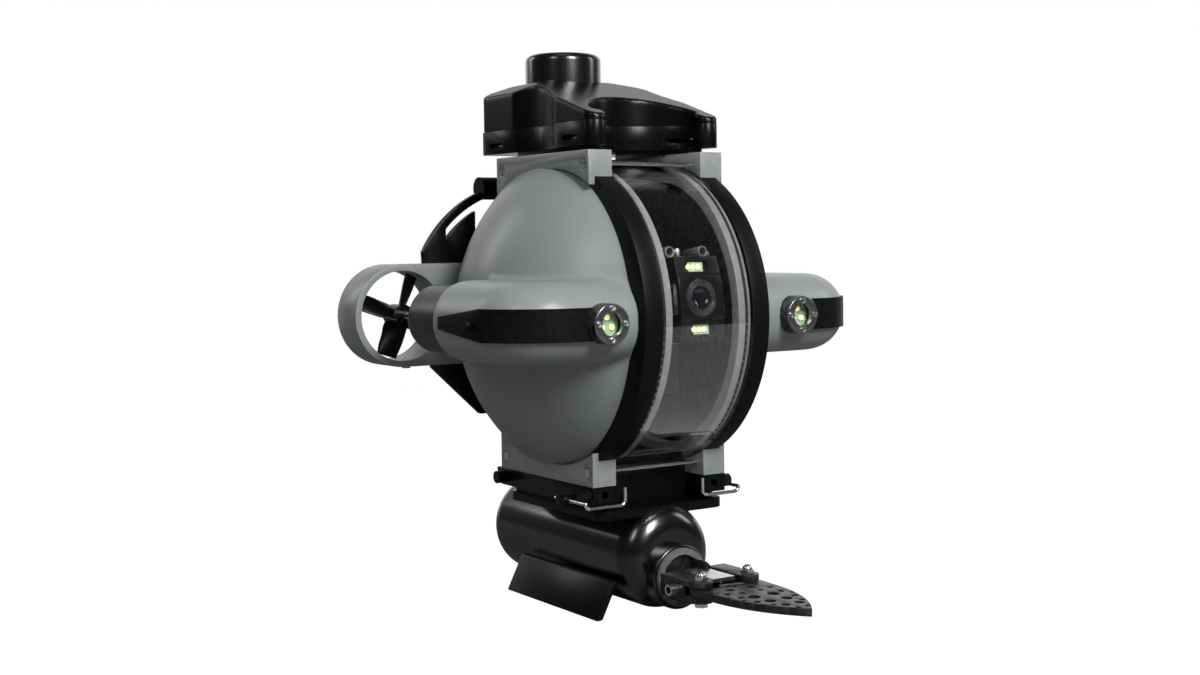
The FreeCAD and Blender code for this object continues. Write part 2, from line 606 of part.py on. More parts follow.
def socket_screws():
    """Button heads on the rear plate and under the shrouds, and clamp pins across the tray's slots."""
    heads = []
    for height in ("screw_rise", "-screw_rise"):
        spot = ("screw_reach", height)
        heads.append(cut(rod("y", spot, ("plate_rear", "plate_rear + screw_height"), "screw_radius"),
                         hexagon("y", spot, ("plate_rear + screw_height / 2", "plate_rear + screw_height"),
                                 "screw_radius / 2")))
    heads.append(rod("z", ("shroud_screw", "shroud_middle"),
                     ("-shroud_radius - screw_height", "-shroud_bore - shroud_wall / 2"), "screw_radius"))
    for place in ("-tray_slot_front", "tray_slot_rear"):
        heads.append(rod("y", ("tray_half - tray_pin_inset",
                               "tray_low + tray_slot_rise + tray_slot_height / 2"),
                         (place, place + " + tray_slot_length"), "tray_pin_radius"))
    node("socket_screws", group(*heads, *[reflected(head) for head in heads]))


# ---------------------------------------------------------------- sonar unit
def sonar():
    def plan(low, high):
        sides = "tray_half"
        body = slab("XY_Plane", (low, high),
                    [("-tray_half", "tray_rear"), ("-tray_half", "-tray_front + knuckle_back"),
                     (sides, "-tray_front + knuckle_back"), (sides, "tray_rear")])
        limits = (low, high)
        offset = "tray_half - side_scallop_depth + side_scallop_radius"
        scoops = [rod("z", ("0", "-scallop_centre"), limits, "scallop_radius"),
                  rod("z", (offset, "side_scallop_centre"), limits, "side_scallop_radius"),
                  rod("z", ("-(%s)" % offset, "side_scallop_centre"), limits, "side_scallop_radius")]
        knuckles = [rod("z", (side + "(tray_half - knuckle_radius)", "-tray_front + knuckle_radius"), limits,
                        "knuckle_radius") for side in ("", "-")]
        return fuse(cut(body, *scoops), *knuckles)

    foot = block(("ear_inner", "tray_half - side_scallop_depth"), ("-tray_foot_front", "tray_foot_rear"),
                 ("ear_height", "tray_low"))
    slots = [block(("tray_slot_inner", "tray_half + tray_slot_inner"), (place, place + " + tray_slot_length"),
                   ("tray_low + tray_slot_rise", "tray_low + tray_slot_rise + tray_slot_height"))
             for place in ("-tray_slot_front", "tray_slot_rear")]
    tray = fuse(plan("tray_low", "tray_top"), foot, reflected(foot))
    node("sonar_tray", cut(tray, *slots, *[reflected(slot) for slot in slots]))
    roof = slab("YZ_Plane", ("-tray_half", "tray_half"),
                [("-tray_front", "tray_top"), ("-tray_front", "cover_nose"),
                 ("boot_place - boot_radius", "cover_peak", "roof_arc", -1),
                 ("tray_rear", "cover_tail", "tail_arc", -1),
                 ("tray_rear", "tray_top")])
    crown = slab("XZ_Plane", ("-tray_front", "tray_rear"),
                 [("-tray_half", "tray_top"), ("-tray_half", "cover_peak - cover_shoulder"),
                  ("tray_half", "cover_peak - cover_shoulder", "crown_arc", -1), ("tray_half", "tray_top")])
    cover = common(plan("tray_top", "cover_peak + 2"), roof, crown)
    node("sonar_cover", cut(cover, rod("z", ("0", "boot_place"), ("boot_low", "boot_high"), "boot_radius")))
    boot = slab("XY_Plane", ("boot_low", "boot_high"), ("circle", "0", "boot_place", "boot_radius"))
    rounded(boot, "boot_edge", lambda edge: edge.BoundBox.ZMin > value("boot_high") - 0.1)
    chamber = rod("z", ("0", "boot_place"), ("boot_low + boot_wall", "boot_high - boot_wall"),
                  "boot_radius - boot_wall")
    post = rod("z", ("0", "boot_place"), ("boot_low", "boot_low + 3 * boot_wall"), "shaft_radius")
    node("sonar_boot", fuse(cut(boot, chamber), post))
    low = "boot_low + boot_wall + sonar_gap"
    rotor = rod("z", ("0", "boot_place"), (low, "boot_high - boot_wall - sonar_gap"), "sonar_radius")
    socket = rod("z", ("0", "boot_place"), (low, "boot_low + 3 * boot_wall + sonar_gap"),
                 "shaft_radius + running_gap")
    node("sonar_transducer", cut(rotor, socket))


# ---------------------------------------------------------------- rails and locking pins
def rails():
    rail = slab("YZ_Plane", ("ear_inner", "ear_outer"),
                [("-ear_front", "-ear_height"), ("-ear_front", "-rail_low"),
                 ("rail_rear - rail_step", "-rail_low"),
                 ("rail_rear", "-rail_low + rail_step"), ("rail_rear", "-ear_height")])
    middle = "ear_middle"
    height = "-ear_height - rail_height / 2"
    spacer_height = ("-mount_top", "-rail_low")
    spacers = [rod("z", (middle, place), spacer_height, "rail_pad_radius")
               for place in ("-spacer_front", "spacer_rear")]
    spacers.append(block((middle + " - rail_pad_radius", middle + " + rail_pad_radius"),
                         ("-spacer_front", "spacer_rear"), spacer_height))
    lug = block(("ear_outer", "wire_outer + 3 * wire_radius"), ("-lug_front", "-lug_front + lug_length"),
                ("-wire_drop - 2.5 * wire_radius", "-wire_drop + 3 * wire_radius"))
    hole = rod("y", (middle, height), ("-ear_front", "-ear_front + rail_hole_depth"), "rail_hole")
    eye = rod("y", ("wire_outer", "-wire_drop"), ("-lug_front", "-lug_front + lug_length"),
              "wire_radius + running_gap")
    pair("rail", cut(fuse(rail, lug, *spacers), hole, eye))

    def knobs(side):
        limits = ("ear_outer", "ear_outer + knob_height")
        if side == "-":
            limits = ("-ear_outer - knob_height", "-ear_outer")
        return [rod("x", (place, height), limits, "knob_radius") for place in ("-knob_front", "knob_rear")]

    node("rail_knobs", group(*both_sides(knobs)))
    pair("locking_pin", locking_pin())


def quarter_bend(centre, turn):
    """A quarter of a torus of the wire's bend radius."""
    bend = primitive("Torus", turn, centre, Radius1="wire_bend", Radius2="wire_radius")
    bend.Angle3 = 90
    return bend


def locking_pin():
    """Bent wire: a short upright inside the rail, a run under it, and a long leg back through the lug."""
    place = "-wire_place"
    low = "-wire_drop - wire_bend"
    upright = rod("z", ("wire_inner", place), ("-wire_drop", "-wire_rise"), "wire_radius")
    across = rod("x", (place, low), ("wire_inner + wire_bend", "wire_outer - wire_bend"), "wire_radius")
    first = quarter_bend(("wire_inner + wire_bend", place, "-wire_drop"),
                         Rotation(Vector(1, 0, 0), 90) * Rotation(Vector(0, 0, 1), 180))
    second = quarter_bend(("wire_outer - wire_bend", place, "-wire_drop"),
                          Rotation(Vector(1, 0, 0), 90) * Rotation(Vector(0, 0, 1), 270))
    elbow = ball(("wire_outer", place, "-wire_drop"), "wire_radius")
    leg = rod("y", ("wire_outer", "-wire_drop"), (place, place + " + wire_run"), "wire_radius")
    return fuse(upright, first, across, second, elbow, leg)


# ---------------------------------------------------------------- gripper
def gripper():
    corner = "mount_corner"
    half, front, rear = "mount_half", "-mount_front", "mount_rear"
    plate = slab("XY_Plane", ("-mount_top - mount_thick", "-mount_top"),
                 [("%s - %s" % (half, corner), front),
                  (half, "%s + %s" % (front, corner), corner, 1), (half, "%s - %s" % (rear, corner)),
                  ("%s - %s" % (half, corner), rear, corner, 1), ("-%s + %s" % (half, corner), rear),
                  ("-" + half, "%s - %s" % (rear, corner), corner, 1),
                  ("-" + half, "%s + %s" % (front, corner)),
                  ("-%s + %s" % (half, corner), front, corner, 1)])
    saddle = cut(block(("-saddle_half", "saddle_half"), ("-saddle_front", "saddle_rear"),
                       ("-mount_top", "-saddle_top")),
                 rod("x", ("0", "0"), ("-saddle_half", "saddle_half"), "ring_radius + saddle_gap"))
    node("mount_plate", fuse(plate, saddle))
    barrel_limits = ("-gripper_front", "gripper_rear")
    seat = block(("-mount_half", "mount_half"), (front, rear), ("-mount_top - mount_thick", "-ear_height"))
    barrel = slab("XZ_Plane", barrel_limits, ("circle", "0", "-gripper_drop", "gripper_radius"))
    rounded(barrel, "gripper_edge", lambda edge: edge.BoundBox.YLength < 0.1)
    collar = slab("XZ_Plane", ("-collar_front", "-gripper_front + gripper_edge"),
                  ("circle", "0", "-wrist_drop", "collar_radius"))
    rounded(collar, "collar_edge", lambda edge: edge.BoundBox.YMax < -value("collar_front") + 0.1)
    wrist = ("0", "-wrist_drop")
    bore = rod("y", wrist, ("-collar_front", "-nose_seat"), "nose_radius + running_gap")
    ring_recess = rod("y", wrist, ("-collar_front", "-collar_front + ring_seat"), "ring_outer")
    well = rod("y", wrist, ("-nose_seat", "-nose_seat + rod_well"), "rod_radius + rod_gap")
    node("gripper_body", cut(fuse(barrel, collar), bore, ring_recess, well, seat))
    node("collar_ring", tube("y", wrist, ("-collar_front - ring_height", "-collar_front + ring_seat"),
                             "ring_outer", "nose_radius + nose_gap"))
    foot = slab("XZ_Plane", ("-foot_front", "foot_rear"),
                [("foot_root", "-foot_top"), ("foot_half", "-hull_rise"),
                 ("foot_half - foot_thick", "-hull_rise"),
                 ("foot_root / 2", "-gripper_drop - foot_lap"), ("foot_root / 2", "-foot_top")])
    side = slab("YZ_Plane", ("0", "foot_half"),
                [("-foot_front", "-hull_rise"), ("foot_rear", "-hull_rise"),
                 ("foot_rear - foot_slope", "-foot_top"),
                 ("-foot_front + foot_slope", "-foot_top")])
    under = rod("y", ("0", "-gripper_drop"), barrel_limits, "gripper_radius")
    pair("foot", cut(common(foot, side), under))


def wrist():
    centre = ("0", "-wrist_drop")
    upper = ("-jaw_top + jaw_gap", "-jaw_top + jaw_gap + arm_thick")
    lower = ("-jaw_low - jaw_gap - arm_thick", "-jaw_low - jaw_gap")
    nose = rod("y", centre, ("-hub_plate", "-nose_seat"), "nose_radius")

    def arm(side, limits):
        inner, outer = side + "arm_inner", side + "arm_outer"
        low, high = (inner, outer) if side == "" else (outer, inner)
        bar = block((low, high), ("-pivot_place", "-hub_plate + arm_root"), limits)
        return [bar, rod("z", (side + "pivot_half", "-pivot_place"), limits, "yoke_boss")]

    pieces = [nose]
    for side in ("", "-"):
        for limits in (upper, lower):
            pieces += arm(side, limits)
        low, high = ("arm_inner", "arm_outer") if side == "" else ("-arm_outer", "-arm_inner")
        pieces.append(block((low, high), ("-pivot_place + yoke_boss", "-hub_plate + arm_root"),
                            (lower[0], upper[1])))
    tools = [rod("x", ("-cross_place", "-jaw_drop"), ("-cross_half", "cross_half"), "cross_radius"),
             rod("y", centre, ("-hub_plate", "-nose_seat"), "rod_radius + rod_gap"),
             block(("-blade_half - rod_gap", "blade_half + rod_gap"),
                   ("-hub_plate", "-hub_plate + yoke_slot"),
                   ("-wrist_drop", "-wrist_drop + nose_radius"))]
    for side in ("", "-"):
        tools.append(rod("z", (side + "pivot_half", "-pivot_place"), (lower[0], upper[1]), "bolt_radius"))
    node("gripper_yoke", cut(fuse(*pieces), *tools))
    node("cross_pin", tube("x", ("-cross_place", "-jaw_drop"), ("-cross_half", "cross_half"), "cross_radius",
                           "cross_bore"))
    bar_low = "-jaw_drop + cross_radius + rod_gap"
    stem = rod("y", centre, ("-rod_front", "-rod_back"), "rod_radius")
    riser = block(("-rod_radius", "rod_radius"), ("-rod_front", "-rod_front + riser_length"),
                  ("-wrist_drop", bar_low))
    bar = block(("-blade_half", "blade_half"), ("-drive_place - 2 * drive_radius",
                                                "-rod_front + riser_length"),
                (bar_low, bar_low + " + blade_height"))
    drive = rod("z", ("0", "-drive_place"), ("-jaw_low", bar_low), "drive_radius")
    node("push_rod", fuse(stem, riser, bar, drive))

    def bolts(side):
        spot = (side + "pivot_half", "-pivot_place")
        shank = rod("z", spot, (lower[0], upper[1]), "bolt_radius")
        head = hexagon("z", spot, (lower[0] + " - head_height", lower[0]), "head_radius")
        nut = hexagon("z", spot, (upper[1], upper[1] + " + nut_height * 0.6"), "nut_radius")
        cap = primitive("Sphere", ALONG_Z, (spot[0], spot[1], upper[1] + " + nut_height * 0.6"),
                        Radius="nut_radius * 0.72")
        return [fuse(shank, head, nut, cap)]

    node("jaw_bolts", group(*both_sides(bolts)))


def jaw(arm_limits):
    """A port jaw: half a leaf with round holes, a pivot eye, and a lapped arm slotted for the drive pin."""
    low, high = "-jaw_low", "-jaw_top"
    leaf = slab("XY_Plane", (low, high),
                [("jaw_split", "-pivot_place - pivot_boss - jaw_root"), ("jaw_split", "-jaw_tip"),
                 ("jaw_half", "-jaw_widest", "jaw_arc", 1),
                 ("pivot_half + pivot_boss", "-pivot_place", "jaw_arc", 1)])
    eye = rod("z", ("pivot_half", "-pivot_place"), (low, high), "pivot_boss")
    lever = slab("XY_Plane", arm_limits,
                 [("-drive_radius * 2", "-drive_place - jaw_arm_half"),
                  ("pivot_half", "-pivot_place - jaw_arm_half"),
                  ("pivot_half", "-pivot_place + jaw_arm_half"),
                  ("-drive_radius * 2", "-drive_place + jaw_arm_half")])
    pin_path = "drive_radius + slot_gap"
    tools = [rod("z", ("pivot_half", "-pivot_place"), (low, high), "bolt_radius + bolt_gap")]
    spread = math.degrees(math.atan2(value("drive_lever"), value("pivot_half")))
    slot = slab("XY_Plane", (low, high), [("-slot_back", "-(%s)" % pin_path),
                                          ("slot_ahead", "-(%s)" % pin_path),
                                          ("slot_ahead", pin_path), ("-slot_back", pin_path)])
    slot.Placement = Placement(Vector(0, 0, 0), Rotation(Vector(0, 0, 1), -spread))
    slot.setExpression(".Placement.Base.x", full("0"))
    slot.setExpression(".Placement.Base.y", full("-drive_place"))
    for number in range(1, len(JAW_HOLES) + 1):
        hole = "jaw_hole_%d_" % number
        tools.append(rod("z", (hole + "across", "-pivot_place - %sahead" % hole), (low, high),
                         hole + "radius"))
    return cut(fuse(leaf, eye, lever), slot, *tools)


def jaws():
    half_way = "-jaw_drop"
    node("jaw_port", jaw((half_way + " + lap_gap / 2", "-jaw_top")))
    node("jaw_starboard", reflected(jaw(("-jaw_low", half_way + " - lap_gap / 2"))))


# ---------------------------------------------------------------- camera and ballast
def camera():
    def sector(outer, inner, half, height):
        ring = tube("x", ("0", "0"), ("-(%s)" % half, half), outer, inner)
        return common(ring, block(("-(%s)" % half, half), ("-(%s)" % outer, "0"), ("-(%s)" % height, height)))

    lift = "camera_tilt"
    inner = "camera_reach - camera_depth"
    head = sector("camera_reach", inner, "camera_half", "camera_height / 2")
    lens_seat = rod("y", ("0", "0"), ("-camera_reach - lens_step", "-camera_reach + lens_depth"),
                    "lens_ring_radius")
    tools = [lens_seat]
    for side in ("", "-"):
        place = side + "led_bar_place"
        limits = ("-camera_reach", "-camera_reach + led_bar_depth + 2 * camera_board")
        half = "led_bar_half - led_bar_radius"
        tools.append(fuse(rod("y", ("-(%s)" % half, place), limits, "led_bar_radius"),
                          rod("y", (half, place), limits, "led_bar_radius"),
                          block(("-(%s)" % half, half), limits,
                                (place + " - led_bar_radius", place + " + led_bar_radius"))))
    node("camera_housing", cut(head, *tools), lift)
    ring = tube("y", ("0", "0"), ("-camera_reach + bezel_step", "-camera_reach + lens_depth"),
                "lens_ring_radius", "lens_radius")
    node("camera_bezel", ring, lift)
    glass = cut(rod("y", ("0", "0"), ("-camera_reach + lens_step", "-camera_reach + lens_depth"),
                    "lens_radius"),
                ball(("0", "-camera_reach - lens_radius * 1.6", "0"), "lens_radius * 2"))
    node("camera_lens", glass, lift)
    boards = []
    chips = []
    for side in ("", "-"):
        place = side + "led_bar_place"
        back = "-camera_reach + led_bar_depth + camera_board"
        half = "led_bar_half - led_bar_radius"
        boards.append(block(("-(%s)" % half, half), (back, back + " + camera_board"),
                            (place + " - led_bar_radius * 0.8", place + " + led_bar_radius * 0.8")))
        for step in (-1, 0, 1):
            chips.append(rod("y", ("%d * chip_pitch - chip_offset" % step, place),
                             (back + " - led_height", back), "chip_radius"))
    node("camera_boards", group(*boards), lift)
    node("camera_leds", group(*chips), lift)
    tubes = []
    for side in ("", "-"):
        limits = ("-laser_back - laser_length", "-laser_back")
        tubes.append(cut(rod("y", (side + "laser_half", "laser_rise"), limits, "laser_radius"),
                         rod("y", (side + "laser_half", "laser_rise"),
                             (limits[0], limits[0] + " + laser_length / 2"), "laser_bore")))
    node("laser_tubes", group(*tubes), lift)
    shelf = block(("-camera_half", "camera_half"), ("-laser_back - laser_shelf", "-laser_back"),
                  ("camera_height / 2", "laser_rise - laser_radius * 0.6"))
    cheeks = []
    for side in ("", "-"):
        limits = ("camera_half", "camera_half + cheek_thick")
        if side == "-":
            limits = ("-camera_half - cheek_thick", "-camera_half")
        outline = fuse(rod("x", ("0", "0"), limits, "cheek_half"),
                       block(limits, ("-camera_reach + cheek_lead", "0"), ("-cheek_half", "cheek_half")),
                       block(limits, ("-laser_back - cheek_tail", "-laser_back"),
                             ("-camera_height / 3", "laser_rise")))
        cheeks.append(outline)
    saddle = cut(shelf, *[rod("y", (side + "laser_half", "laser_rise"), ("-2 * ring_radius", "0"),
                              "laser_radius")
                          for side in ("", "-")])
    axle = rod("x", ("0", "0"), ("-window_half + axle_gap", "window_half - axle_gap"), "axle_radius")
    node("camera_bracket", fuse(*cheeks, saddle, axle), lift)
    limits = ("-ballast_half", "ballast_half")
    mass = common(tube("x", ("0", "0"), limits, "ballast_outer", "ballast_inner"),
                  block(limits, ("-ballast_span", "ballast_span"), ("-ballast_outer", "0")))
    limits = ("-hanger_half", "hanger_half")
    hanger = block(limits, limits, ("-ballast_inner - hanger_lap", "0"))
    hub = rod("x", ("0", "0"), limits, "hanger_eye")
    node("pitch_ballast", cut(fuse(mass, hanger, hub),
                              rod("x", ("0", "0"), limits, "axle_radius + running_gap")))


window_parts()
castings()
pads()
lights()
thrusters()
rear_parts()
socket_screws()
sonar()
rails()
gripper()
wrist()
jaws()
camera()
doc.recompute()

# ---------------------------------------------------------------- checks and export
for obj in doc.Objects:
    if "Invalid" in obj.State or "Error" in obj.State:
        raise RuntimeError("%s (%s) failed: %s" % (obj.Name, obj.Label, obj.State))
for obj in nodes:
    if obj.Shape.isNull() or not obj.Shape.isValid() or not obj.Shape.Solids:
        raise RuntimeError("%s has no valid solid" % obj.Label)

os.makedirs("parts", exist_ok=True)
for obj in nodes:
    obj.Shape.exportStep("parts/%s.step" % obj.Label)
    box = obj.Shape.BoundBox
    print("%-24s %2d solids  x %7.1f %7.1f  y %7.1f %7.1f  z %7.1f %7.1f" % (
        obj.Label, len(obj.Shape.Solids), box.XMin, box.XMax, box.YMin, box.YMax, box.ZMin, box.ZMax))
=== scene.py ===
import json
import math

import bpy
from mathutils import Matrix, Vector


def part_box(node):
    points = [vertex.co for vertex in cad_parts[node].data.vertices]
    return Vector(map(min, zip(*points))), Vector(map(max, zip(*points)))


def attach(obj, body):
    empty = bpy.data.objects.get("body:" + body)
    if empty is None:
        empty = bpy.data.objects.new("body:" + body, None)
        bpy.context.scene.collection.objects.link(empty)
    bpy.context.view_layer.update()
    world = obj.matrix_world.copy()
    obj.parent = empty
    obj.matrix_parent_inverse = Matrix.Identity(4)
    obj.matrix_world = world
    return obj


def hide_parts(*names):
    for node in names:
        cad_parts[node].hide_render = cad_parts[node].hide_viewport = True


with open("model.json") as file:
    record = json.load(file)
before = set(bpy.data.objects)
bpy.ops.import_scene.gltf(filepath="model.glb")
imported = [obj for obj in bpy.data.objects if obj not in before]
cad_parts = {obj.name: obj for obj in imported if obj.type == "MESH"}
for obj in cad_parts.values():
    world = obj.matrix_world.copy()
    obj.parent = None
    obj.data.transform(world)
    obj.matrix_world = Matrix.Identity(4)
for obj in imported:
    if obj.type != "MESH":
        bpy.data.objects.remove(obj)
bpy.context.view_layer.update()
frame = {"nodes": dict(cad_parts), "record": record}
MM = 0.001

# ---------------------------------------------------------------- places read from the frame
RING_LOW, RING_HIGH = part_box("window_ring")
HULL = (RING_LOW + RING_HIGH) / 2
RING_RADIUS = (RING_HIGH.z - RING_LOW.z) / 2
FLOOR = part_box("foot_port")[0].z


# ---------------------------------------------------------------- shader node helpers
def feed(tree, node, **values):
    """Sets the node's named inputs: an output is linked, anything else becomes the plain value."""
    for label, value in values.items():
        socket = node.inputs[label.replace("_", " ")]
        if isinstance(value, bpy.types.NodeSocket):
            tree.links.new(value, socket)
        else:
            socket.default_value = value
    return node


def add_node(tree, kind, settings=(), **values):
    """A shader node whose settings are made before its inputs are fed."""
    node = tree.nodes.new("ShaderNode" + kind)
    for label, setting in settings:
        setattr(node, label, setting)
    return feed(tree, node, **values)


def math_node(tree, operation, *values):
    """The result of one sum on numbers or outputs."""
    node = add_node(tree, "Math", [("operation", operation)])
    for socket, value in zip(node.inputs, values):
        if isinstance(value, bpy.types.NodeSocket):
            tree.links.new(value, socket)
        else:
            socket.default_value = value
    return node.outputs[0]


def noise_node(tree, vector, scale, detail, roughness=0.55):
    return add_node(tree, "TexNoise", Vector=vector, Scale=scale, Detail=detail,
                    Roughness=roughness).outputs["Fac"]


def ramp_node(tree, value, low, high, low_out=0.0, high_out=1.0):
    return add_node(tree, "MapRange", Value=value, From_Min=low, From_Max=high, To_Min=low_out,
                    To_Max=high_out).outputs["Result"]


def bump_node(tree, height, strength, distance):
    return add_node(tree, "Bump", Height=height, Strength=strength, Distance=distance).outputs["Normal"]


def mix_colours(tree, share, first, second):
    return add_node(tree, "Mix", [("data_type", "RGBA")], Factor=share, A=first, B=second).outputs["Result"]


def mix_shaders(tree, share, first, second):
    mix = add_node(tree, "MixShader", Fac=share)
    tree.links.new(first, mix.inputs[1])
    tree.links.new(second, mix.inputs[2])
    return mix.outputs[0]


def own_place(tree):
    """Object coordinates."""
    return add_node(tree, "TexCoord").outputs["Object"]


# ---------------------------------------------------------------- shared shader groups
def new_group(name, inputs, outputs):
    group = bpy.data.node_groups.new(name, "ShaderNodeTree")
    for label, kind, default in inputs:
        socket = group.interface.new_socket(label, in_out="INPUT", socket_type="NodeSocket" + kind)
        socket.default_value = default
    for label, kind in outputs:
        group.interface.new_socket(label, in_out="OUTPUT", socket_type="NodeSocket" + kind)
    return group, group.nodes.new("NodeGroupInput").outputs, group.nodes.new("NodeGroupOutput")


def mottle_group():
    """Slow colour drift of a moulded or painted surface, with a fine drift of its roughness."""
    group, given, leave = new_group(
        "mottle",
        [("Colour", "Color", (0.5, 0.5, 0.5, 1)), ("Drift", "Float", 0.1), ("Scale", "Float", 30.0),
         ("Rough", "Float", 0.4), ("Rough drift", "Float", 0.06)],
        [("Colour", "Color"), ("Roughness", "Float")])
    place = own_place(group)
    slow = noise_node(group, place, given["Scale"], 4)
    swing = math_node(group, "MULTIPLY_ADD", slow, 2.0, -1.0)
    spread = math_node(group, "MULTIPLY_ADD", swing, given["Drift"], 1.0)
    tint = add_node(group, "VectorMath", [("operation", "SCALE")], Scale=spread)
    group.links.new(given["Colour"], tint.inputs[0])
    centred = math_node(group, "SUBTRACT", noise_node(group, place, 90.0, 5), 0.5)
    rough = math_node(group, "MULTIPLY_ADD", centred, given["Rough drift"], given["Rough"])
    feed(group, leave, Colour=tint.outputs[0], Roughness=rough)
    return group


def grain_group():
    """Height of a fine pebbled or orange-peel skin."""
    group, given, leave = new_group(
        "skin_grain",
        [("Scale", "Float", 900.0), ("Soft scale", "Float", 120.0), ("Soft share", "Float", 0.4)],
        [("Height", "Float")])
    place = own_place(group)
    mix = add_node(group, "Mix", [("data_type", "FLOAT")], Factor=given["Soft share"],
                   A=noise_node(group, place, given["Scale"], 2),
                   B=noise_node(group, place, given["Soft scale"], 2))
    feed(group, leave, Height=mix.outputs["Result"])
    return group


def scuff_group():
    """A mask of small scattered scratches and rubbed spots."""
    group, given, leave = new_group(
        "scuffs", [("Scale", "Float", 60.0), ("Amount", "Float", 0.2)], [("Mask", "Float")])
    place = own_place(group)
    stretch = add_node(group, "Mapping", Vector=place, Scale=(1.0, 0.25, 3.0), Rotation=(0.3, 0.2, 0.5))
    lines = noise_node(group, stretch.outputs["Vector"], given["Scale"], 8, 0.7)
    thin = ramp_node(group, lines, 0.62, 0.72)
    where = ramp_node(group, noise_node(group, place, 14.0, 2), 0.45, 0.7)
    both = math_node(group, "MULTIPLY", thin, where)
    feed(group, leave, Mask=math_node(group, "MULTIPLY", both, given["Amount"]))
    return group


def edge_group():
    """A mask of convex edges, broken up, where paint and moulding skin rub bright."""
    group, given, leave = new_group("edge_rub", [("Amount", "Float", 0.3)], [("Mask", "Float")])
    edge = ramp_node(group, add_node(group, "NewGeometry").outputs["Pointiness"], 0.52, 0.6)
    spots = ramp_node(group, noise_node(group, own_place(group), 220.0, 4), 0.4, 0.65)
    both = math_node(group, "MULTIPLY", edge, spots)
    feed(group, leave, Mask=math_node(group, "MULTIPLY", both, given["Amount"]))
    return group


MOTTLE = mottle_group()
GRAIN = grain_group()
SCUFFS = scuff_group()
EDGES = edge_group()


def place_group(tree, group, **values):
    return add_node(tree, "Group", [("node_tree", group)], **values).outputs


# ---------------------------------------------------------------- materials
def new_material(name):
    material = bpy.data.materials.new(name)
    material.use_nodes = True
    tree = material.node_tree
    return material, tree, tree.nodes["Principled BSDF"]


def show(tree, shader_output):
    """Makes this the material's surface."""
    tree.links.new(shader_output, tree.nodes["Material Output"].inputs["Surface"])


def surface(name, colour, rough, drift=0.1, scale=30.0, grain=900.0, soft=120.0, soft_share=0.4,
            bump=0.15, bump_height=0.0002, scuff=0.2, scuff_colour=(0.2, 0.2, 0.2), rub=0.3,
            metallic=0.0, coat=0.0, coat_rough=0.1, specular=0.5):
    """A painted, moulded, rubber or metal finish with drift, skin grain, scuffs and rubbed edges."""
    material, tree, shader = new_material(name)
    mottle = place_group(tree, MOTTLE, Colour=(*colour, 1), Drift=drift, Scale=scale, Rough=rough)
    scuffs = place_group(tree, SCUFFS, Amount=scuff)["Mask"]
    edges = place_group(tree, EDGES, Amount=rub)["Mask"]
    worn = math_node(tree, "ADD", scuffs, edges)
    worn.node.use_clamp = True
    skin = place_group(tree, GRAIN, Scale=grain, Soft_scale=soft, Soft_share=soft_share)["Height"]
    feed(tree, shader, Base_Color=mix_colours(tree, worn, mottle["Colour"], (*scuff_colour, 1)),
         Roughness=mottle["Roughness"], Normal=bump_node(tree, skin, bump, bump_height), Metallic=metallic,
         Coat_Weight=coat, Coat_Roughness=coat_rough, Specular_IOR_Level=specular)
    return material


def clear_material(name, colour, rough, ior, specular, shade_from=None):
    """Clear acrylic or glass that lets light through; past the given line along Y it is painted near-black,
    painted shade standing in for the dark interior.
    """
    material, tree, shader = new_material(name)
    feed(tree, shader, Base_Color=(*colour, 1), Roughness=rough, IOR=ior, Transmission_Weight=1.0,
         Specular_IOR_Level=specular)
    pass_through = add_node(tree, "BsdfTransparent", Color=(*colour, 1))
    shadow = add_node(tree, "LightPath").outputs["Is Shadow Ray"]
    clear = mix_shaders(tree, shadow, shader.outputs[0], pass_through.outputs[0])
    # painted shade: past the line along Y the window turns opaque near-black, standing in for the shade
    # inside the hull
    if shade_from is not None:
        along = add_node(tree, "SeparateXYZ", Vector=own_place(tree)).outputs["Y"]
        black = add_node(tree, "BsdfPrincipled", Base_Color=(0.006, 0.006, 0.006, 1), Roughness=0.3,
                         Specular_IOR_Level=0.25)
        painted = ramp_node(tree, along, shade_from, shade_from + SHADE_EDGE)
        clear = mix_shaders(tree, painted, clear, black.outputs[0])
    show(tree, clear)
    return material


def steel_material(name, colour, rough):
    """Turned or drawn stainless steel: fine lines along one axis."""
    material, tree, shader = new_material(name)
    mapping = add_node(tree, "Mapping", Vector=own_place(tree), Scale=(1.0, 0.1, 1.0))
    lines = noise_node(tree, mapping.outputs["Vector"], 500.0, 3)
    mottle = place_group(tree, MOTTLE, Colour=(*colour, 1), Drift=0.12, Scale=80.0)
    feed(tree, shader, Base_Color=mottle["Colour"], Metallic=1.0,
         Roughness=ramp_node(tree, lines, 0.3, 0.7, rough - 0.04, rough + 0.05),
         Normal=bump_node(tree, lines, 0.05, 0.00002))
    return material


def board_material(name):
    """Pale green solder mask with lighter pads."""
    material, tree, shader = new_material(name)
    cells = add_node(tree, "TexVoronoi", Vector=own_place(tree), Scale=420.0, Randomness=0.35)
    pads = ramp_node(tree, cells.outputs["Distance"], 0.16, 0.24, 1.0, 0.0)
    feed(tree, shader, Base_Color=mix_colours(tree, pads, (0.20, 0.30, 0.20, 1), (0.78, 0.80, 0.70, 1)),
         Roughness=0.35)
    return material


def painted_glow_led_material(name, colour, glow):
    """Yellow phosphor with a painted glow: it gives light of its own though it is no lamp in the scene."""
    material, tree, shader = new_material(name)
    mottle = place_group(tree, MOTTLE, Colour=(*colour, 1), Drift=0.2, Scale=300.0)
    # painted glow: the phosphor colour is also given as emission
    feed(tree, shader, Base_Color=mottle["Colour"], Emission_Color=mottle["Colour"], Roughness=0.3,
         Emission_Strength=glow)
    return material
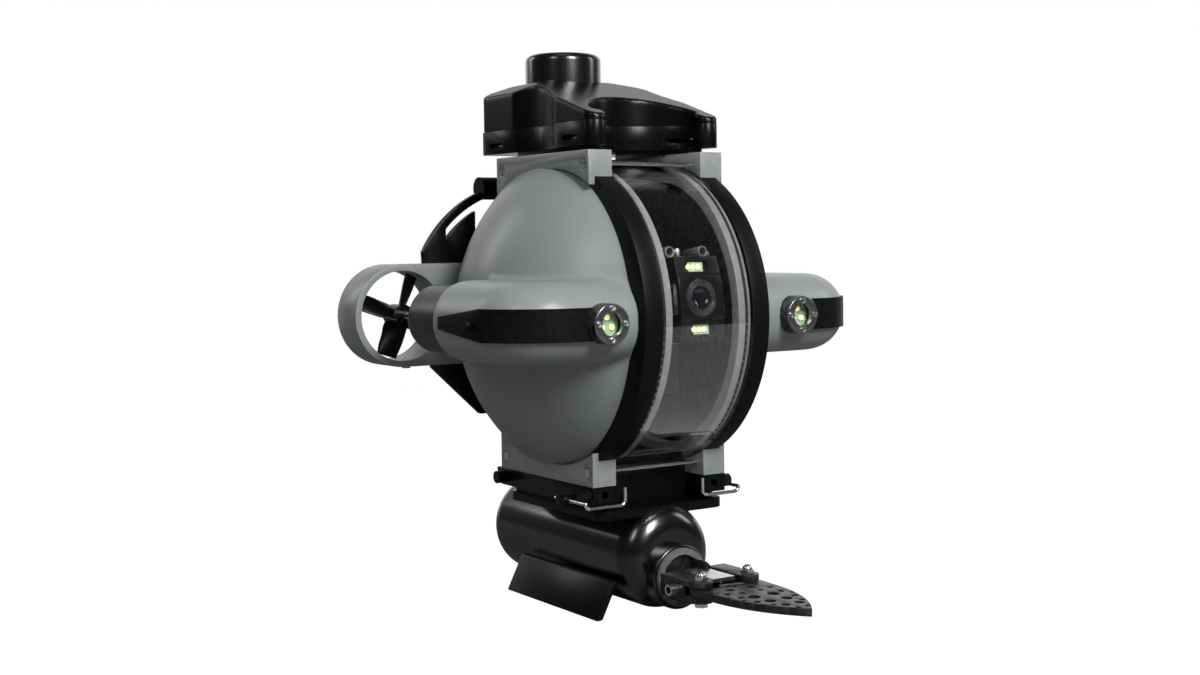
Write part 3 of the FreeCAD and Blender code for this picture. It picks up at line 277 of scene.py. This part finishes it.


# where the window's painted shade (near-black standing in for the dark interior) starts behind the hull
# centre, and the width of its edge, in metres
PAINTED_SHADE_LINE = 0.012
SHADE_EDGE = 0.0005
BLACK_WEAR = {"scuff_colour": (0.03, 0.03, 0.03), "rub": 0.2}
NO_WEAR = {"scuff": 0.0, "rub": 0.0}
FINISHES = {
    "casting_paint": dict(
        colour=(0.178, 0.189, 0.191), rough=0.38, drift=0.07, scale=18, grain=700, soft=160, soft_share=0.5,
        bump=0.10, bump_height=0.0003, scuff=0.10, scuff_colour=(0.30, 0.31, 0.31), rub=0.35, specular=0.4,
        coat=0.1, coat_rough=0.25),
    "lens_glass": dict(
        colour=(0.003, 0.0035, 0.006), rough=0.08, drift=0.3, bump=0.0, specular=0.25, coat=0.2,
        coat_rough=0.02, **NO_WEAR),
    "retainer_gloss": dict(
        colour=(0.03, 0.03, 0.03), rough=0.16, drift=0.5, scale=260, grain=500, soft=300, bump=0.9,
        bump_height=0.0006, scuff=0.5, scuff_colour=(0.30, 0.30, 0.30), rub=0.6, specular=1.0, coat=1.0,
        coat_rough=0.08),
    "seal_rubber": dict(colour=(0.004, 0.004, 0.004), rough=0.55, specular=0.2, **NO_WEAR),
    "black_rubber": dict(
        colour=(0.0020, 0.0021, 0.0022), rough=0.45, drift=0.2, scale=45, grain=1400, bump=0.25, scuff=0.15,
        scuff_colour=(0.03, 0.03, 0.03), rub=0.1, specular=0.1),
    "black_moulding": dict(
        colour=(0.0016, 0.0017, 0.0018), rough=0.28, drift=0.18, scale=40, grain=1600, soft=400, bump=0.3,
        bump_height=0.0001, scuff=0.2, specular=0.14, **BLACK_WEAR),
    "black_gloss": dict(
        colour=(0.0012, 0.0013, 0.0014), rough=0.24, drift=0.2, scale=30, grain=500, soft=90, soft_share=0.7,
        bump=0.05, scuff=0.08, specular=0.3, coat=0.8, coat_rough=0.2, **BLACK_WEAR),
    "black_anodised": dict(
        colour=(0.0040, 0.0042, 0.0045), rough=0.34, drift=0.15, scale=60, grain=2500, bump=0.2,
        bump_height=0.00006, scuff=0.25, specular=0.3, scuff_colour=(0.12, 0.12, 0.13), rub=0.5),
    "grey_metal": dict(
        colour=(0.10, 0.105, 0.11), rough=0.40, drift=0.12, grain=2500, bump=0.15, bump_height=0.00006,
        metallic=0.5, scuff=0.15, scuff_colour=(0.3, 0.3, 0.3)),
    "grey_plastic": dict(
        colour=(0.088, 0.090, 0.088), rough=0.42, drift=0.12, grain=1500, bump=0.2, bump_height=0.0001,
        scuff=0.15, scuff_colour=(0.25, 0.25, 0.24), specular=0.3),
    "seat_grey": dict(
        colour=(0.11, 0.111, 0.108), rough=0.45, drift=0.08, scale=25, grain=1800, bump=0.12,
        bump_height=0.0001, scuff=0.05, scuff_colour=(0.4, 0.4, 0.38), rub=0.1, specular=0.2),
    "battery_wrap": dict(colour=(0.03, 0.06, 0.16), rough=0.35, bump=0.1),
    "sonar_potting": dict(colour=(0.02, 0.02, 0.022), rough=0.5, bump=0.1),
    "ballast_iron": dict(
        colour=(0.004, 0.0042, 0.0045), rough=0.5, drift=0.2, scale=60, grain=300, bump=0.05, scuff=0.1,
        scuff_colour=(0.03, 0.03, 0.03), specular=0.2),
}

MATERIALS = {name: surface(name, **finish) for name, finish in FINISHES.items()}
MATERIALS["clear_window"] = clear_material("clear_window", (0.92, 0.93, 0.925), 0.01, 1.49, 0.08,
                                           HULL.y + PAINTED_SHADE_LINE)
MATERIALS["clear_glass"] = clear_material("clear_glass", (0.96, 0.98, 0.98), 0.0, 1.5, 0.3)
MATERIALS["steel"] = steel_material("steel", (0.62, 0.62, 0.61), 0.22)
MATERIALS["board_green"] = board_material("board_green")
MATERIALS["led_yellow"] = painted_glow_led_material("led_yellow", (0.85, 0.76, 0.25), 0.85)


# ---------------------------------------------------------------- finishing the nodes shown as they are
def clothe(obj, slot):
    """Gives the object one material slot with the named finish."""
    obj.data.materials.clear()
    obj.data.materials.append(MATERIALS[slot])


WELD_REACH = 0.000004
CREASE_ANGLE = math.radians(32)


def soften(obj, width):
    """Welds the loose triangles, rounds the sharp edges a little and shades what stays smooth."""
    for face in obj.data.polygons:
        face.use_smooth = True
    weld = obj.modifiers.new("weld", "WELD")
    weld.merge_threshold = WELD_REACH
    if width:
        bevel = obj.modifiers.new("edge_break", "BEVEL")
        bevel.width = width
        bevel.segments = 2
        bevel.limit_method = "ANGLE"
        bevel.angle_limit = CREASE_ANGLE
        bevel.use_clamp_overlap = True
    split = obj.modifiers.new("crease", "EDGE_SPLIT")
    split.split_angle = CREASE_ANGLE


EDGE_BREAK = {
    "rear_plate": 0.6, "mount_plate": 0.8, "rail_port": 0.7, "rail_starboard": 0.7, "jaw_port": 0.35,
    "jaw_starboard": 0.35, "gripper_yoke": 0.5, "band_port": 0.5, "band_starboard": 0.5,
    "shroud_port": 1.2, "shroud_starboard": 1.2, "sonar_tray": 0.8,
}


def dress_frame():
    for part in frame["record"]["subparts"]:
        obj = frame["nodes"][part["node"]]
        clothe(obj, part["material_slot"])
        soften(obj, EDGE_BREAK.get(part["node"], 0) * MM)


# ---------------------------------------------------------------- studio
VIEW_AZIMUTH = -33.7
VIEW_ELEVATION = 2.71
VIEW_ROLL = -0.76
VIEW_DISTANCE = 1.2257
VIEW_SHIFT = (-0.0158, -0.0195)
VIEW_CLIP = (0.01, 50)
FOCAL_LENGTH = 46.76
SENSOR = 36.0

# name, azimuth, elevation, distance, size, watts
LAMPS = (
    ("softbox_side", -65, 34, 1.6, (0.26, 0.55), 4.5),
    ("softbox_front", -3, 34, 1.6, (0.46, 0.66), 37),
    ("rim_port", 68, 25, 1.9, (0.3, 0.8), 5),
    ("rim_stern", -150, 25, 1.9, (0.3, 0.8), 4),
    ("overhead", -34, 80, 1.8, (0.8, 0.8), 1.5),
)
FILL_STRENGTH = 0.20
BACKDROP_DARK = 0.06
# cosines of the angle from the view's heading between which the backdrop turns from dark to white
BACKDROP_SPREAD = (0.55, 0.85)
FLOOR_SIZE, FLOOR_DROP = 3.2, 0.0002
FLOOR_GREY, FLOOR_GLOW, FLOOR_SHARE = 0.18, 1.16, 0.9


def toward(azimuth, elevation):
    """Unit direction: azimuth 0 is straight ahead of the vehicle, negative to starboard."""
    around, up = math.radians(azimuth), math.radians(elevation)
    return Vector((math.sin(around) * math.cos(up), -math.cos(around) * math.cos(up), math.sin(up)))


def make_camera():
    azimuth, roll = math.radians(VIEW_AZIMUTH), math.radians(VIEW_ROLL)
    back = toward(VIEW_AZIMUTH, VIEW_ELEVATION)
    right = Vector((math.cos(azimuth), math.sin(azimuth), 0))
    up = back.cross(right)
    across = right * math.cos(roll) + up * math.sin(roll)
    upright = up * math.cos(roll) - right * math.sin(roll)
    data = bpy.data.cameras.new("camera")
    data.sensor_width = SENSOR
    data.lens = FOCAL_LENGTH
    data.shift_x, data.shift_y = VIEW_SHIFT
    data.clip_start, data.clip_end = VIEW_CLIP
    camera = bpy.data.objects.new("camera", data)
    bpy.context.scene.collection.objects.link(camera)
    turn = Matrix((across, upright, back)).transposed()
    camera.matrix_world = Matrix.Translation(HULL + back * VIEW_DISTANCE) @ turn.to_4x4()
    bpy.context.scene.camera = camera


def make_light(name, azimuth, elevation, distance, size, watts):
    """A rectangular softbox in the given direction, aimed at the hull centre."""
    data = bpy.data.lights.new(name, "AREA")
    data.shape = "RECTANGLE"
    data.size, data.size_y = size
    data.energy = watts
    lamp = bpy.data.objects.new(name, data)
    bpy.context.scene.collection.objects.link(lamp)
    lamp.location = HULL + toward(azimuth, elevation) * distance
    lamp.rotation_euler = (-toward(azimuth, elevation)).to_track_quat("-Z", "Y").to_euler()


def path_mask(tree, *names):
    """One where a ray is any of the named kinds."""
    path = add_node(tree, "LightPath").outputs
    mask = path[names[0]]
    for name in names[1:]:
        mask = math_node(tree, "MAXIMUM", mask, path[name])
    return mask


def make_world():
    """Even fill light, and a white backdrop that is dark on the studio's own side in reflections."""
    world = bpy.data.worlds.new("studio")
    bpy.context.scene.world = world
    world.use_nodes = True
    tree = world.node_tree
    fill = feed(tree, tree.nodes["Background"], Color=(0.93, 0.97, 1.0, 1), Strength=FILL_STRENGTH)
    facing = add_node(tree, "VectorMath", [("operation", "DOT_PRODUCT")])
    tree.links.new(add_node(tree, "TexCoord").outputs["Generated"], facing.inputs[0])
    facing.inputs[1].default_value = -toward(VIEW_AZIMUTH, 0)
    behind = ramp_node(tree, facing.outputs["Value"], *BACKDROP_SPREAD, BACKDROP_DARK, 1.0)
    strength = math_node(tree, "MAXIMUM", behind, path_mask(tree, "Is Camera Ray"))
    backdrop = add_node(tree, "Background", Color=(1, 1, 1, 1), Strength=strength)
    seen = path_mask(tree, "Is Camera Ray", "Is Glossy Ray", "Is Transmission Ray")
    tree.links.new(mix_shaders(tree, seen, fill.outputs[0], backdrop.outputs[0]),
                   tree.nodes["World Output"].inputs["Surface"])


def make_floor():
    """A floor that looks white to the camera, keeps the object's shadow and reflects as grey."""
    deselect()
    bpy.ops.mesh.primitive_plane_add(size=FLOOR_SIZE, location=(0, 0, FLOOR - FLOOR_DROP))
    floor = bpy.context.object
    floor.name = "studio_floor"
    material, tree, shader = new_material("studio_floor")
    feed(tree, shader, Base_Color=(FLOOR_GREY, FLOOR_GREY, FLOOR_GREY, 1), Roughness=0.7)
    glow = add_node(tree, "Emission", Color=(1, 1, 1, 1), Strength=FLOOR_GLOW)
    share = math_node(tree, "MULTIPLY", path_mask(tree, "Is Camera Ray", "Is Transmission Ray"), FLOOR_SHARE)
    show(tree, mix_shaders(tree, share, shader.outputs[0], glow.outputs[0]))
    floor.data.materials.append(material)


def make_studio():
    for lamp in LAMPS:
        make_light(*lamp)
    make_world()
    make_floor()


# ---------------------------------------------------------------- modelling helpers
def deselect():
    bpy.ops.object.select_all(action="DESELECT")


def pick(obj):
    """Makes the object the only one selected, and the active one."""
    deselect()
    obj.select_set(True)
    bpy.context.view_layer.objects.active = obj


def spot(x, y, z):
    """A place given in millimetres from the hull centre."""
    return HULL + Vector((x, y, z)) * MM


def settle(obj):
    """Puts the object's place into its mesh."""
    pick(obj)
    bpy.ops.object.transform_apply(location=True, rotation=True, scale=True)
    return obj


def box_piece(x, y, z):
    """A box between two limits on each axis, in millimetres from the hull centre."""
    deselect()
    bpy.ops.mesh.primitive_cube_add(size=1, location=spot(sum(x) / 2, sum(y) / 2, sum(z) / 2))
    obj = bpy.context.object
    obj.scale = tuple(abs(limits[1] - limits[0]) * MM for limits in (x, y, z))
    return settle(obj)


def rod_piece(axis, centre, limits, radius, sides=64):
    """A cylinder along an axis; centre holds its other two coordinates in order."""
    deselect()
    place = list(centre)
    place.insert("xyz".index(axis), sum(limits) / 2)
    turn = {"x": (0, math.pi / 2, 0), "y": (math.pi / 2, 0, 0), "z": (0, 0, 0)}[axis]
    bpy.ops.mesh.primitive_cylinder_add(vertices=sides, radius=radius * MM, location=spot(*place),
                                        depth=abs(limits[1] - limits[0]) * MM, rotation=turn)
    return settle(bpy.context.object)


def apply_modifier(obj, kind, **settings):
    """Adds a modifier with its settings and applies it."""
    pick(obj)
    modifier = obj.modifiers.new(kind.lower(), kind)
    for label, setting in settings.items():
        setattr(modifier, label, setting)
    bpy.ops.object.modifier_apply(modifier=modifier.name)


def round_edges(obj, width, segments=2, angle=50):
    """Rounds every edge sharper than the angle."""
    apply_modifier(obj, "BEVEL", width=width * MM, segments=segments, limit_method="ANGLE",
                   angle_limit=math.radians(angle))


def carve(obj, *tools):
    """Takes each tool away from the object."""
    for tool in tools:
        apply_modifier(obj, "BOOLEAN", operation="DIFFERENCE", object=tool, solver="EXACT")
        bpy.data.objects.remove(tool)
    return obj


def join(*objects):
    deselect()
    for obj in objects:
        obj.select_set(True)
    bpy.context.view_layer.objects.active = objects[0]
    bpy.ops.object.join()
    return objects[0]


def slice_off(obj, place, normal):
    """Cuts the object by a plane, drops what lies on the normal's side and closes the cut."""
    pick(obj)
    bpy.ops.object.mode_set(mode="EDIT")
    bpy.ops.mesh.select_all(action="SELECT")
    bpy.ops.mesh.bisect(plane_co=spot(*place), plane_no=normal, use_fill=True, clear_outer=True)
    bpy.ops.object.mode_set(mode="OBJECT")


def bevel_edges(obj, chosen, width, segments):
    """Rounds the edges whose two ends, in millimetres from the hull centre, the test picks."""
    pick(obj)
    bpy.ops.object.mode_set(mode="EDIT")
    bpy.ops.mesh.select_mode(type="EDGE")
    bpy.ops.mesh.select_all(action="DESELECT")
    bpy.ops.object.mode_set(mode="OBJECT")
    for edge in obj.data.edges:
        edge.select = chosen(*[(obj.data.vertices[index].co - HULL) / MM for index in edge.vertices])
    bpy.ops.object.mode_set(mode="EDIT")
    bpy.ops.mesh.bevel(offset=width * MM, segments=segments, affect="EDGES", clamp_overlap=True)
    bpy.ops.object.mode_set(mode="OBJECT")


def melt(obj, voxel, passes):
    """Merges overlapping solids into one skin and softens its edges and corners, as a casting's are."""
    apply_modifier(obj, "REMESH", mode="VOXEL", voxel_size=voxel * MM, use_smooth_shade=True)
    apply_modifier(obj, "SMOOTH", factor=0.5, iterations=passes)


def finish_piece(obj, name, node, slot, body="hull", angle=35):
    """Names the piece, shades and clothes it, hangs it on its body and hides the node it stands for."""
    obj.name = name
    clothe(obj, slot)
    pick(obj)
    bpy.ops.object.shade_smooth_by_angle(angle=math.radians(angle))
    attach(obj, body)
    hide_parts(node)
    return obj


# ---------------------------------------------------------------- dome castings
BAND_LOW, BAND_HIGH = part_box("band_port")
DOME_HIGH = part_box("hull_dome_port")[1]
CAN_LOW, CAN_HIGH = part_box("thruster_can_port")
RING = RING_RADIUS / MM
DOME_BASE = (BAND_HIGH.x - HULL.x) / MM
BAND_INNER = (BAND_LOW.x - HULL.x) / MM
POD_SIDE = (DOME_HIGH.x - HULL.x) / MM
CAN_REACH = ((CAN_LOW.x + CAN_HIGH.x) / 2 - HULL.x) / MM
CAN_RADIUS = (CAN_HIGH.x - CAN_LOW.x) / 2 / MM
DOME_RISE, DOME_STRETCH, DOME_ROOT = 60, 18, 12
POD_FRONT, POD_REAR, POD_HALF = -111, 4, 30
POD_SWEEP = 50
PAD_SINK = 0.5
CASTING_VOXEL, CASTING_PASSES = 1.7, 14
CAN_GAP, CAN_SOCKET = 0.4, (-20, 70)
EAR_REACH, EAR_HALF = 61.2, 125
EAR_FRONT, EAR_REAR = -54.3, 83
EAR_CUT = (30, 80)
RING_GAP, RING_LIP = 0.3, 5
TIE_PLACES, TIE_HEIGHT = (-46.4, 74.8), 115
TIE_SOCKET, TIE_DEPTH, TIE_CUT = 4.8, 2.6, 70


def dome_body(side):
    """The stretched spherical cap, running a little inside its base."""
    radius = (DOME_RISE ** 2 + RING ** 2) / (2 * DOME_RISE)
    deselect()
    bpy.ops.mesh.primitive_uv_sphere_add(segments=96, ring_count=48, radius=radius * MM,
                                         location=spot(side * (DOME_BASE + DOME_RISE - radius), 0, 0))
    obj = settle(bpy.context.object)
    bpy.ops.object.mode_set(mode="EDIT")
    bpy.ops.mesh.select_mode(type="VERT")
    bpy.ops.object.mode_set(mode="OBJECT")
    for vertex in obj.data.vertices:
        vertex.select = vertex.co.y > HULL.y + MM
    bpy.ops.object.mode_set(mode="EDIT")
    bpy.ops.transform.translate(value=(0, DOME_STRETCH * MM, 0))
    bpy.ops.object.mode_set(mode="OBJECT")
    slice_off(obj, (side * (DOME_BASE - DOME_ROOT), 0, 0), (-side, 0, 0))
    return obj


def pod_body(side):
    """The thruster pod: a bar whose front corner sweeps round and whose outer edges are fully rounded."""
    flank = side * (POD_SIDE - PAD_SINK)
    obj = box_piece((side * DOME_BASE, flank), (POD_FRONT, POD_REAR), (-POD_HALF, POD_HALF))
    bevel_edges(obj, lambda a, b: all(abs(p.x - flank) < 0.1 and p.y < 0 for p in (a, b)), POD_SWEEP, 18)

    def outer(a, b):
        level = abs(a.z - b.z) < 0.1
        along_rear = a.y > POD_REAR - 0.1 and b.y > POD_REAR - 0.1
        along_root = abs(a.x) < DOME_BASE + 0.1 and abs(b.x) < DOME_BASE + 0.1
        return level and not along_rear and not along_root

    bevel_edges(obj, outer, POD_HALF - 0.4, 10)
    return obj


def make_casting(side, name):
    """The smooth skin of dome and pod, and the crisp machined ears with their tie bolt sockets."""
    skin = join(dome_body(side), pod_body(side))
    melt(skin, CASTING_VOXEL, CASTING_PASSES)
    slice_off(skin, (side * DOME_BASE, 0, 0), (-side, 0, 0))
    carve(skin, rod_piece("y", (side * CAN_REACH, 0), CAN_SOCKET, CAN_RADIUS + CAN_GAP, 96))
    finish_piece(skin, "casting_" + name, "hull_dome_" + name, "casting_paint", angle=50)
    ear = box_piece((side * BAND_INNER, side * EAR_REACH), (EAR_FRONT, EAR_REAR), (-EAR_HALF, EAR_HALF))
    inner, outer = (side * reach for reach in EAR_CUT)
    carve(ear, rod_piece("x", (0, 0), (inner, side * DOME_BASE), RING + RING_GAP, 192),
          rod_piece("x", (0, 0), (inner, outer), RING - RING_LIP, 192))
    for height in (-TIE_HEIGHT, TIE_HEIGHT):
        for place in TIE_PLACES:
            depth = (side * (EAR_REACH - TIE_DEPTH), side * TIE_CUT)
            carve(ear, rod_piece("x", (place, height), depth, TIE_SOCKET, 6))
    round_edges(ear, 0.8, angle=40)
    finish_piece(ear, "casting_ears_" + name, "hull_dome_" + name, "casting_paint")


# ---------------------------------------------------------------- sonar cover
COVER_HALF, COVER_FRONT, COVER_REAR = 60, -56, 107
SEAM, PEAK = 147, 188
SEAM_GAP = 0.25
KNUCKLE = 8.5
SCALLOP_PLACE, SCALLOP = -52, 50
HOLLOW_REACH, HOLLOW_PLACE, HOLLOW = 128, 26, 75
BOOT_PLACE, BOOT_RADIUS, BOOT_SEAT = 78, 30.9, 24

COVER_STOCK = (SEAM - 6, PEAK + 4)
COARSE_VOXEL, FINE_VOXEL, COVER_PASSES = 1.4, 1.3, 9

# a place on the plane that slopes the top, and the plane's normal
NOSE_SLOPE = ((0, COVER_FRONT, SEAM + 4.6), (0, -0.325, 1))
TAIL_SLOPE = ((0, 47, PEAK), (0, 0.15, 1))
# reach, height and sideways slope of the two planes on each side
SHOULDERS = ((24, PEAK, 0.22), (46, PEAK - 4, 0.62))
SHOULDER_PLACE = 60


def cover_block(low, high):
    """The cover's outline: concave front between two knuckles, shallow hollows in both sides."""
    body = box_piece((-COVER_HALF, COVER_HALF), (COVER_FRONT + KNUCKLE, COVER_REAR), (low, high))
    through = (low - 1, high + 1)
    tools = [rod_piece("z", (0, SCALLOP_PLACE), through, SCALLOP, 128)]
    for side in (1, -1):
        tools.append(rod_piece("z", (side * HOLLOW_REACH, HOLLOW_PLACE), through, HOLLOW, 160))
    carve(body, *tools)
    knuckles = [rod_piece("z", (side * (COVER_HALF - KNUCKLE), COVER_FRONT + KNUCKLE), (low, high), KNUCKLE)
                for side in (1, -1)]
    return join(body, *knuckles)


def make_cover():
    """The cover's skin: the block melted, sloped on top, melted again and cut at the seam and boot."""
    cover = cover_block(*COVER_STOCK)
    melt(cover, COARSE_VOXEL, 0)
    slice_off(cover, *NOSE_SLOPE)
    slice_off(cover, *TAIL_SLOPE)
    for side in (1, -1):
        for across, height, slope in SHOULDERS:
            slice_off(cover, (side * across, SHOULDER_PLACE, height), (side * slope, 0, 1))
    melt(cover, FINE_VOXEL, COVER_PASSES)
    slice_off(cover, (0, 0, SEAM + SEAM_GAP), (0, 0, -1))
    carve(cover, rod_piece("z", (0, BOOT_PLACE), (SEAM + BOOT_SEAT, PEAK + 10), BOOT_RADIUS, 96))
    finish_piece(cover, "sonar_cover_skin", "sonar_cover", "black_moulding", angle=50)


# ---------------------------------------------------------------- lights
LIGHT_REACH, LIGHT_FACE, LIGHT_RADIUS = 86, -121, 14.5
RETAINER, OPENING = 2.6, 8
SCREW_CIRCLE, SCREW_RADIUS, SCREW_HEIGHT = 11.2, 2.3, 1.6


def socket_screw(across, up):
    """A cap screw facing the front, with a hexagon socket in its head."""
    top = LIGHT_FACE - SCREW_HEIGHT
    socket = (top - 1, LIGHT_FACE - SCREW_HEIGHT * 0.3)
    head = rod_piece("y", (across, up), (top, LIGHT_FACE + 0.5), SCREW_RADIUS, 40)
    carve(head, rod_piece("y", (across, up), socket, SCREW_RADIUS * 0.52, 6))
    round_edges(head, 0.25)
    return head


def make_lights():
    rings, screws = [], []
    for side in (1, -1):
        middle = (side * LIGHT_REACH, 0)
        ring = rod_piece("y", middle, (LIGHT_FACE, LIGHT_FACE + RETAINER), LIGHT_RADIUS - 0.1, 96)
        carve(ring, rod_piece("y", middle, (LIGHT_FACE - 2, LIGHT_FACE + 6), OPENING, 72))
        round_edges(ring, 0.9, 3, 40)
        rings.append(ring)
        for quarter in range(4):
            turn = math.pi / 2 * quarter
            screws.append(socket_screw(side * LIGHT_REACH + SCREW_CIRCLE * math.cos(turn),
                                       SCREW_CIRCLE * math.sin(turn)))
    ring = finish_piece(join(*rings), "light_retainer_rings", "light_retainers", "black_anodised")
    ring.data.materials[0] = MATERIALS["retainer_gloss"]
    finish_piece(join(*screws), "light_socket_screws", "light_screws", "steel")


# ---------------------------------------------------------------- camera head
CAMERA_REACH, CAMERA_BACK, CAMERA_HALF, CAMERA_RISE = 108, 86, 19.5, 30
CAMERA_TILT, CAMERA_CUT = 8.2, -60
RECESS = (-112, -102)
BEZEL_SEAT, BEZEL_RADIUS, BEZEL_BORE, BEZEL_FACE = 13.5, 13.4, 8.5, -107.2
BEZEL_RINGS, RING_WIRE = (9.2, 11.0, 12.7), 0.4
STEP_LINE, STEP_HALF, STEP_DEPTH = 15.6, 0.35, -106.4
LED_BAR_PLACE, LED_BAR_HALF, LED_BAR_RADIUS = 22.5, 6.8, 4.2
LASER_HALF, LASER_RISE, LASER_RADIUS, LASER_BORE = 15, 35, 4.2, 2.9
LASER_FRONT, LASER_BACK = -94, -74
CLAMP_SCREWS, CLAMP_PLACE, CLAMP_RADIUS, CLAMP_SOCKET = (-8.5, -1.5), -84, 2.7, 1.4


def lifted(obj):
    """Turns the piece about the hull's cross axis to the camera's angle."""
    turn = Matrix.Rotation(-math.radians(CAMERA_TILT), 4, "X")
    obj.matrix_world = Matrix.Translation(HULL) @ turn @ Matrix.Translation(-HULL)
    return settle(obj)


def make_camera_head():
    """The curved block with its lens recess, obround LED slots and step lines, and the ringed bezel."""
    body = rod_piece("x", (0, 0), (-CAMERA_HALF, CAMERA_HALF), CAMERA_REACH - 0.1, 256)
    carve(body, rod_piece("x", (0, 0), (-CAMERA_HALF - 5, CAMERA_HALF + 5), CAMERA_BACK, 128))
    slice_off(body, (0, 0, CAMERA_RISE), (0, 0, 1))
    slice_off(body, (0, 0, -CAMERA_RISE), (0, 0, -1))
    slice_off(body, (0, CAMERA_CUT, 0), (0, 1, 0))
    tools = [rod_piece("y", (0, 0), RECESS, BEZEL_SEAT, 96)]
    for side in (1, -1):
        place, step = side * LED_BAR_PLACE, side * STEP_LINE
        tools.append(box_piece((-LED_BAR_HALF, LED_BAR_HALF), RECESS,
                               (place - LED_BAR_RADIUS, place + LED_BAR_RADIUS)))
        for end in (1, -1):
            tools.append(rod_piece("y", (end * LED_BAR_HALF, place), RECESS, LED_BAR_RADIUS, 40))
        tools.append(box_piece((-30, 30), (RECESS[0], STEP_DEPTH), (step - STEP_HALF, step + STEP_HALF)))
    carve(body, *tools)
    round_edges(body, 0.4, angle=45)
    finish_piece(lifted(body), "camera_block", "camera_housing", "black_moulding", "camera")
    bezel = rod_piece("y", (0, 0), (BEZEL_FACE, RECESS[1]), BEZEL_RADIUS, 96)
    carve(bezel, rod_piece("y", (0, 0), (RECESS[0], -100), BEZEL_BORE, 72))
    rings = []
    for radius in BEZEL_RINGS:
        bpy.ops.mesh.primitive_torus_add(major_segments=96, minor_segments=12, major_radius=radius * MM,
                                         minor_radius=RING_WIRE * MM, location=spot(0, BEZEL_FACE, 0),
                                         rotation=(math.pi / 2, 0, 0))
        rings.append(settle(bpy.context.object))
    finish_piece(lifted(join(bezel, *rings)), "camera_bezel_rings", "camera_bezel", "black_anodised",
                 "camera")


def make_laser_tubes():
    tubes, screws = [], []
    for side in (1, -1):
        middle = (side * LASER_HALF, LASER_RISE)
        tube = rod_piece("y", middle, (LASER_FRONT, LASER_BACK), LASER_RADIUS, 64)
        carve(tube, rod_piece("y", middle, (LASER_FRONT - 1, LASER_BACK - 6), LASER_BORE, 48))
        round_edges(tube, 0.4)
        tubes.append(tube)
    for across in CLAMP_SCREWS:
        middle = (across, CLAMP_PLACE)
        head = rod_piece("z", middle, (LASER_RISE - 3, LASER_RISE + 3.6), CLAMP_RADIUS, 40)
        carve(head, rod_piece("z", middle, (LASER_RISE + 1.6, LASER_RISE + 5), CLAMP_SOCKET, 6))
        round_edges(head, 0.7, 3)
        screws.append(head)
    finish_piece(lifted(join(*tubes)), "laser_tubes_turned", "laser_tubes", "grey_metal", "camera")
    finish_piece(lifted(join(*screws)), "laser_clamp_screws", "laser_tubes", "steel", "camera")


# ---------------------------------------------------------------- feet
FOOT_TOP, FOOT_LOW, FOOT_ROOT, FOOT_REACH, FOOT_PLATE = -197, -225, 42, 60, 5.5
FOOT_FRONT, FOOT_REAR = -55, 80
FOOT_ROOT_HEIGHT, FOOT_INNER = -190, 20


def make_foot(side, name):
    """A skid plate that leans out from the body, open behind, with a rolled edge."""
    foot = box_piece((side * FOOT_INNER, side * FOOT_REACH), (FOOT_FRONT, FOOT_REAR), (FOOT_LOW, FOOT_TOP))
    lean = Vector((side * (FOOT_ROOT_HEIGHT - FOOT_LOW), 0, FOOT_REACH - FOOT_ROOT)).normalized()
    slice_off(foot, (side * FOOT_REACH, 0, FOOT_LOW), lean)
    slice_off(foot, (side * (FOOT_REACH - FOOT_PLATE), 0, FOOT_LOW), -lean)
    round_edges(foot, 1.4, 3, 20)
    finish_piece(foot, "foot_skid_" + name, "foot_" + name, "black_moulding")


dress_frame()
make_lights()
make_camera_head()
make_laser_tubes()
for make_piece in (make_foot, make_casting):
    make_piece(1, "port")
    make_piece(-1, "starboard")
make_cover()
make_camera()
make_studio()
bpy.context.scene.view_settings.view_transform = "Standard"
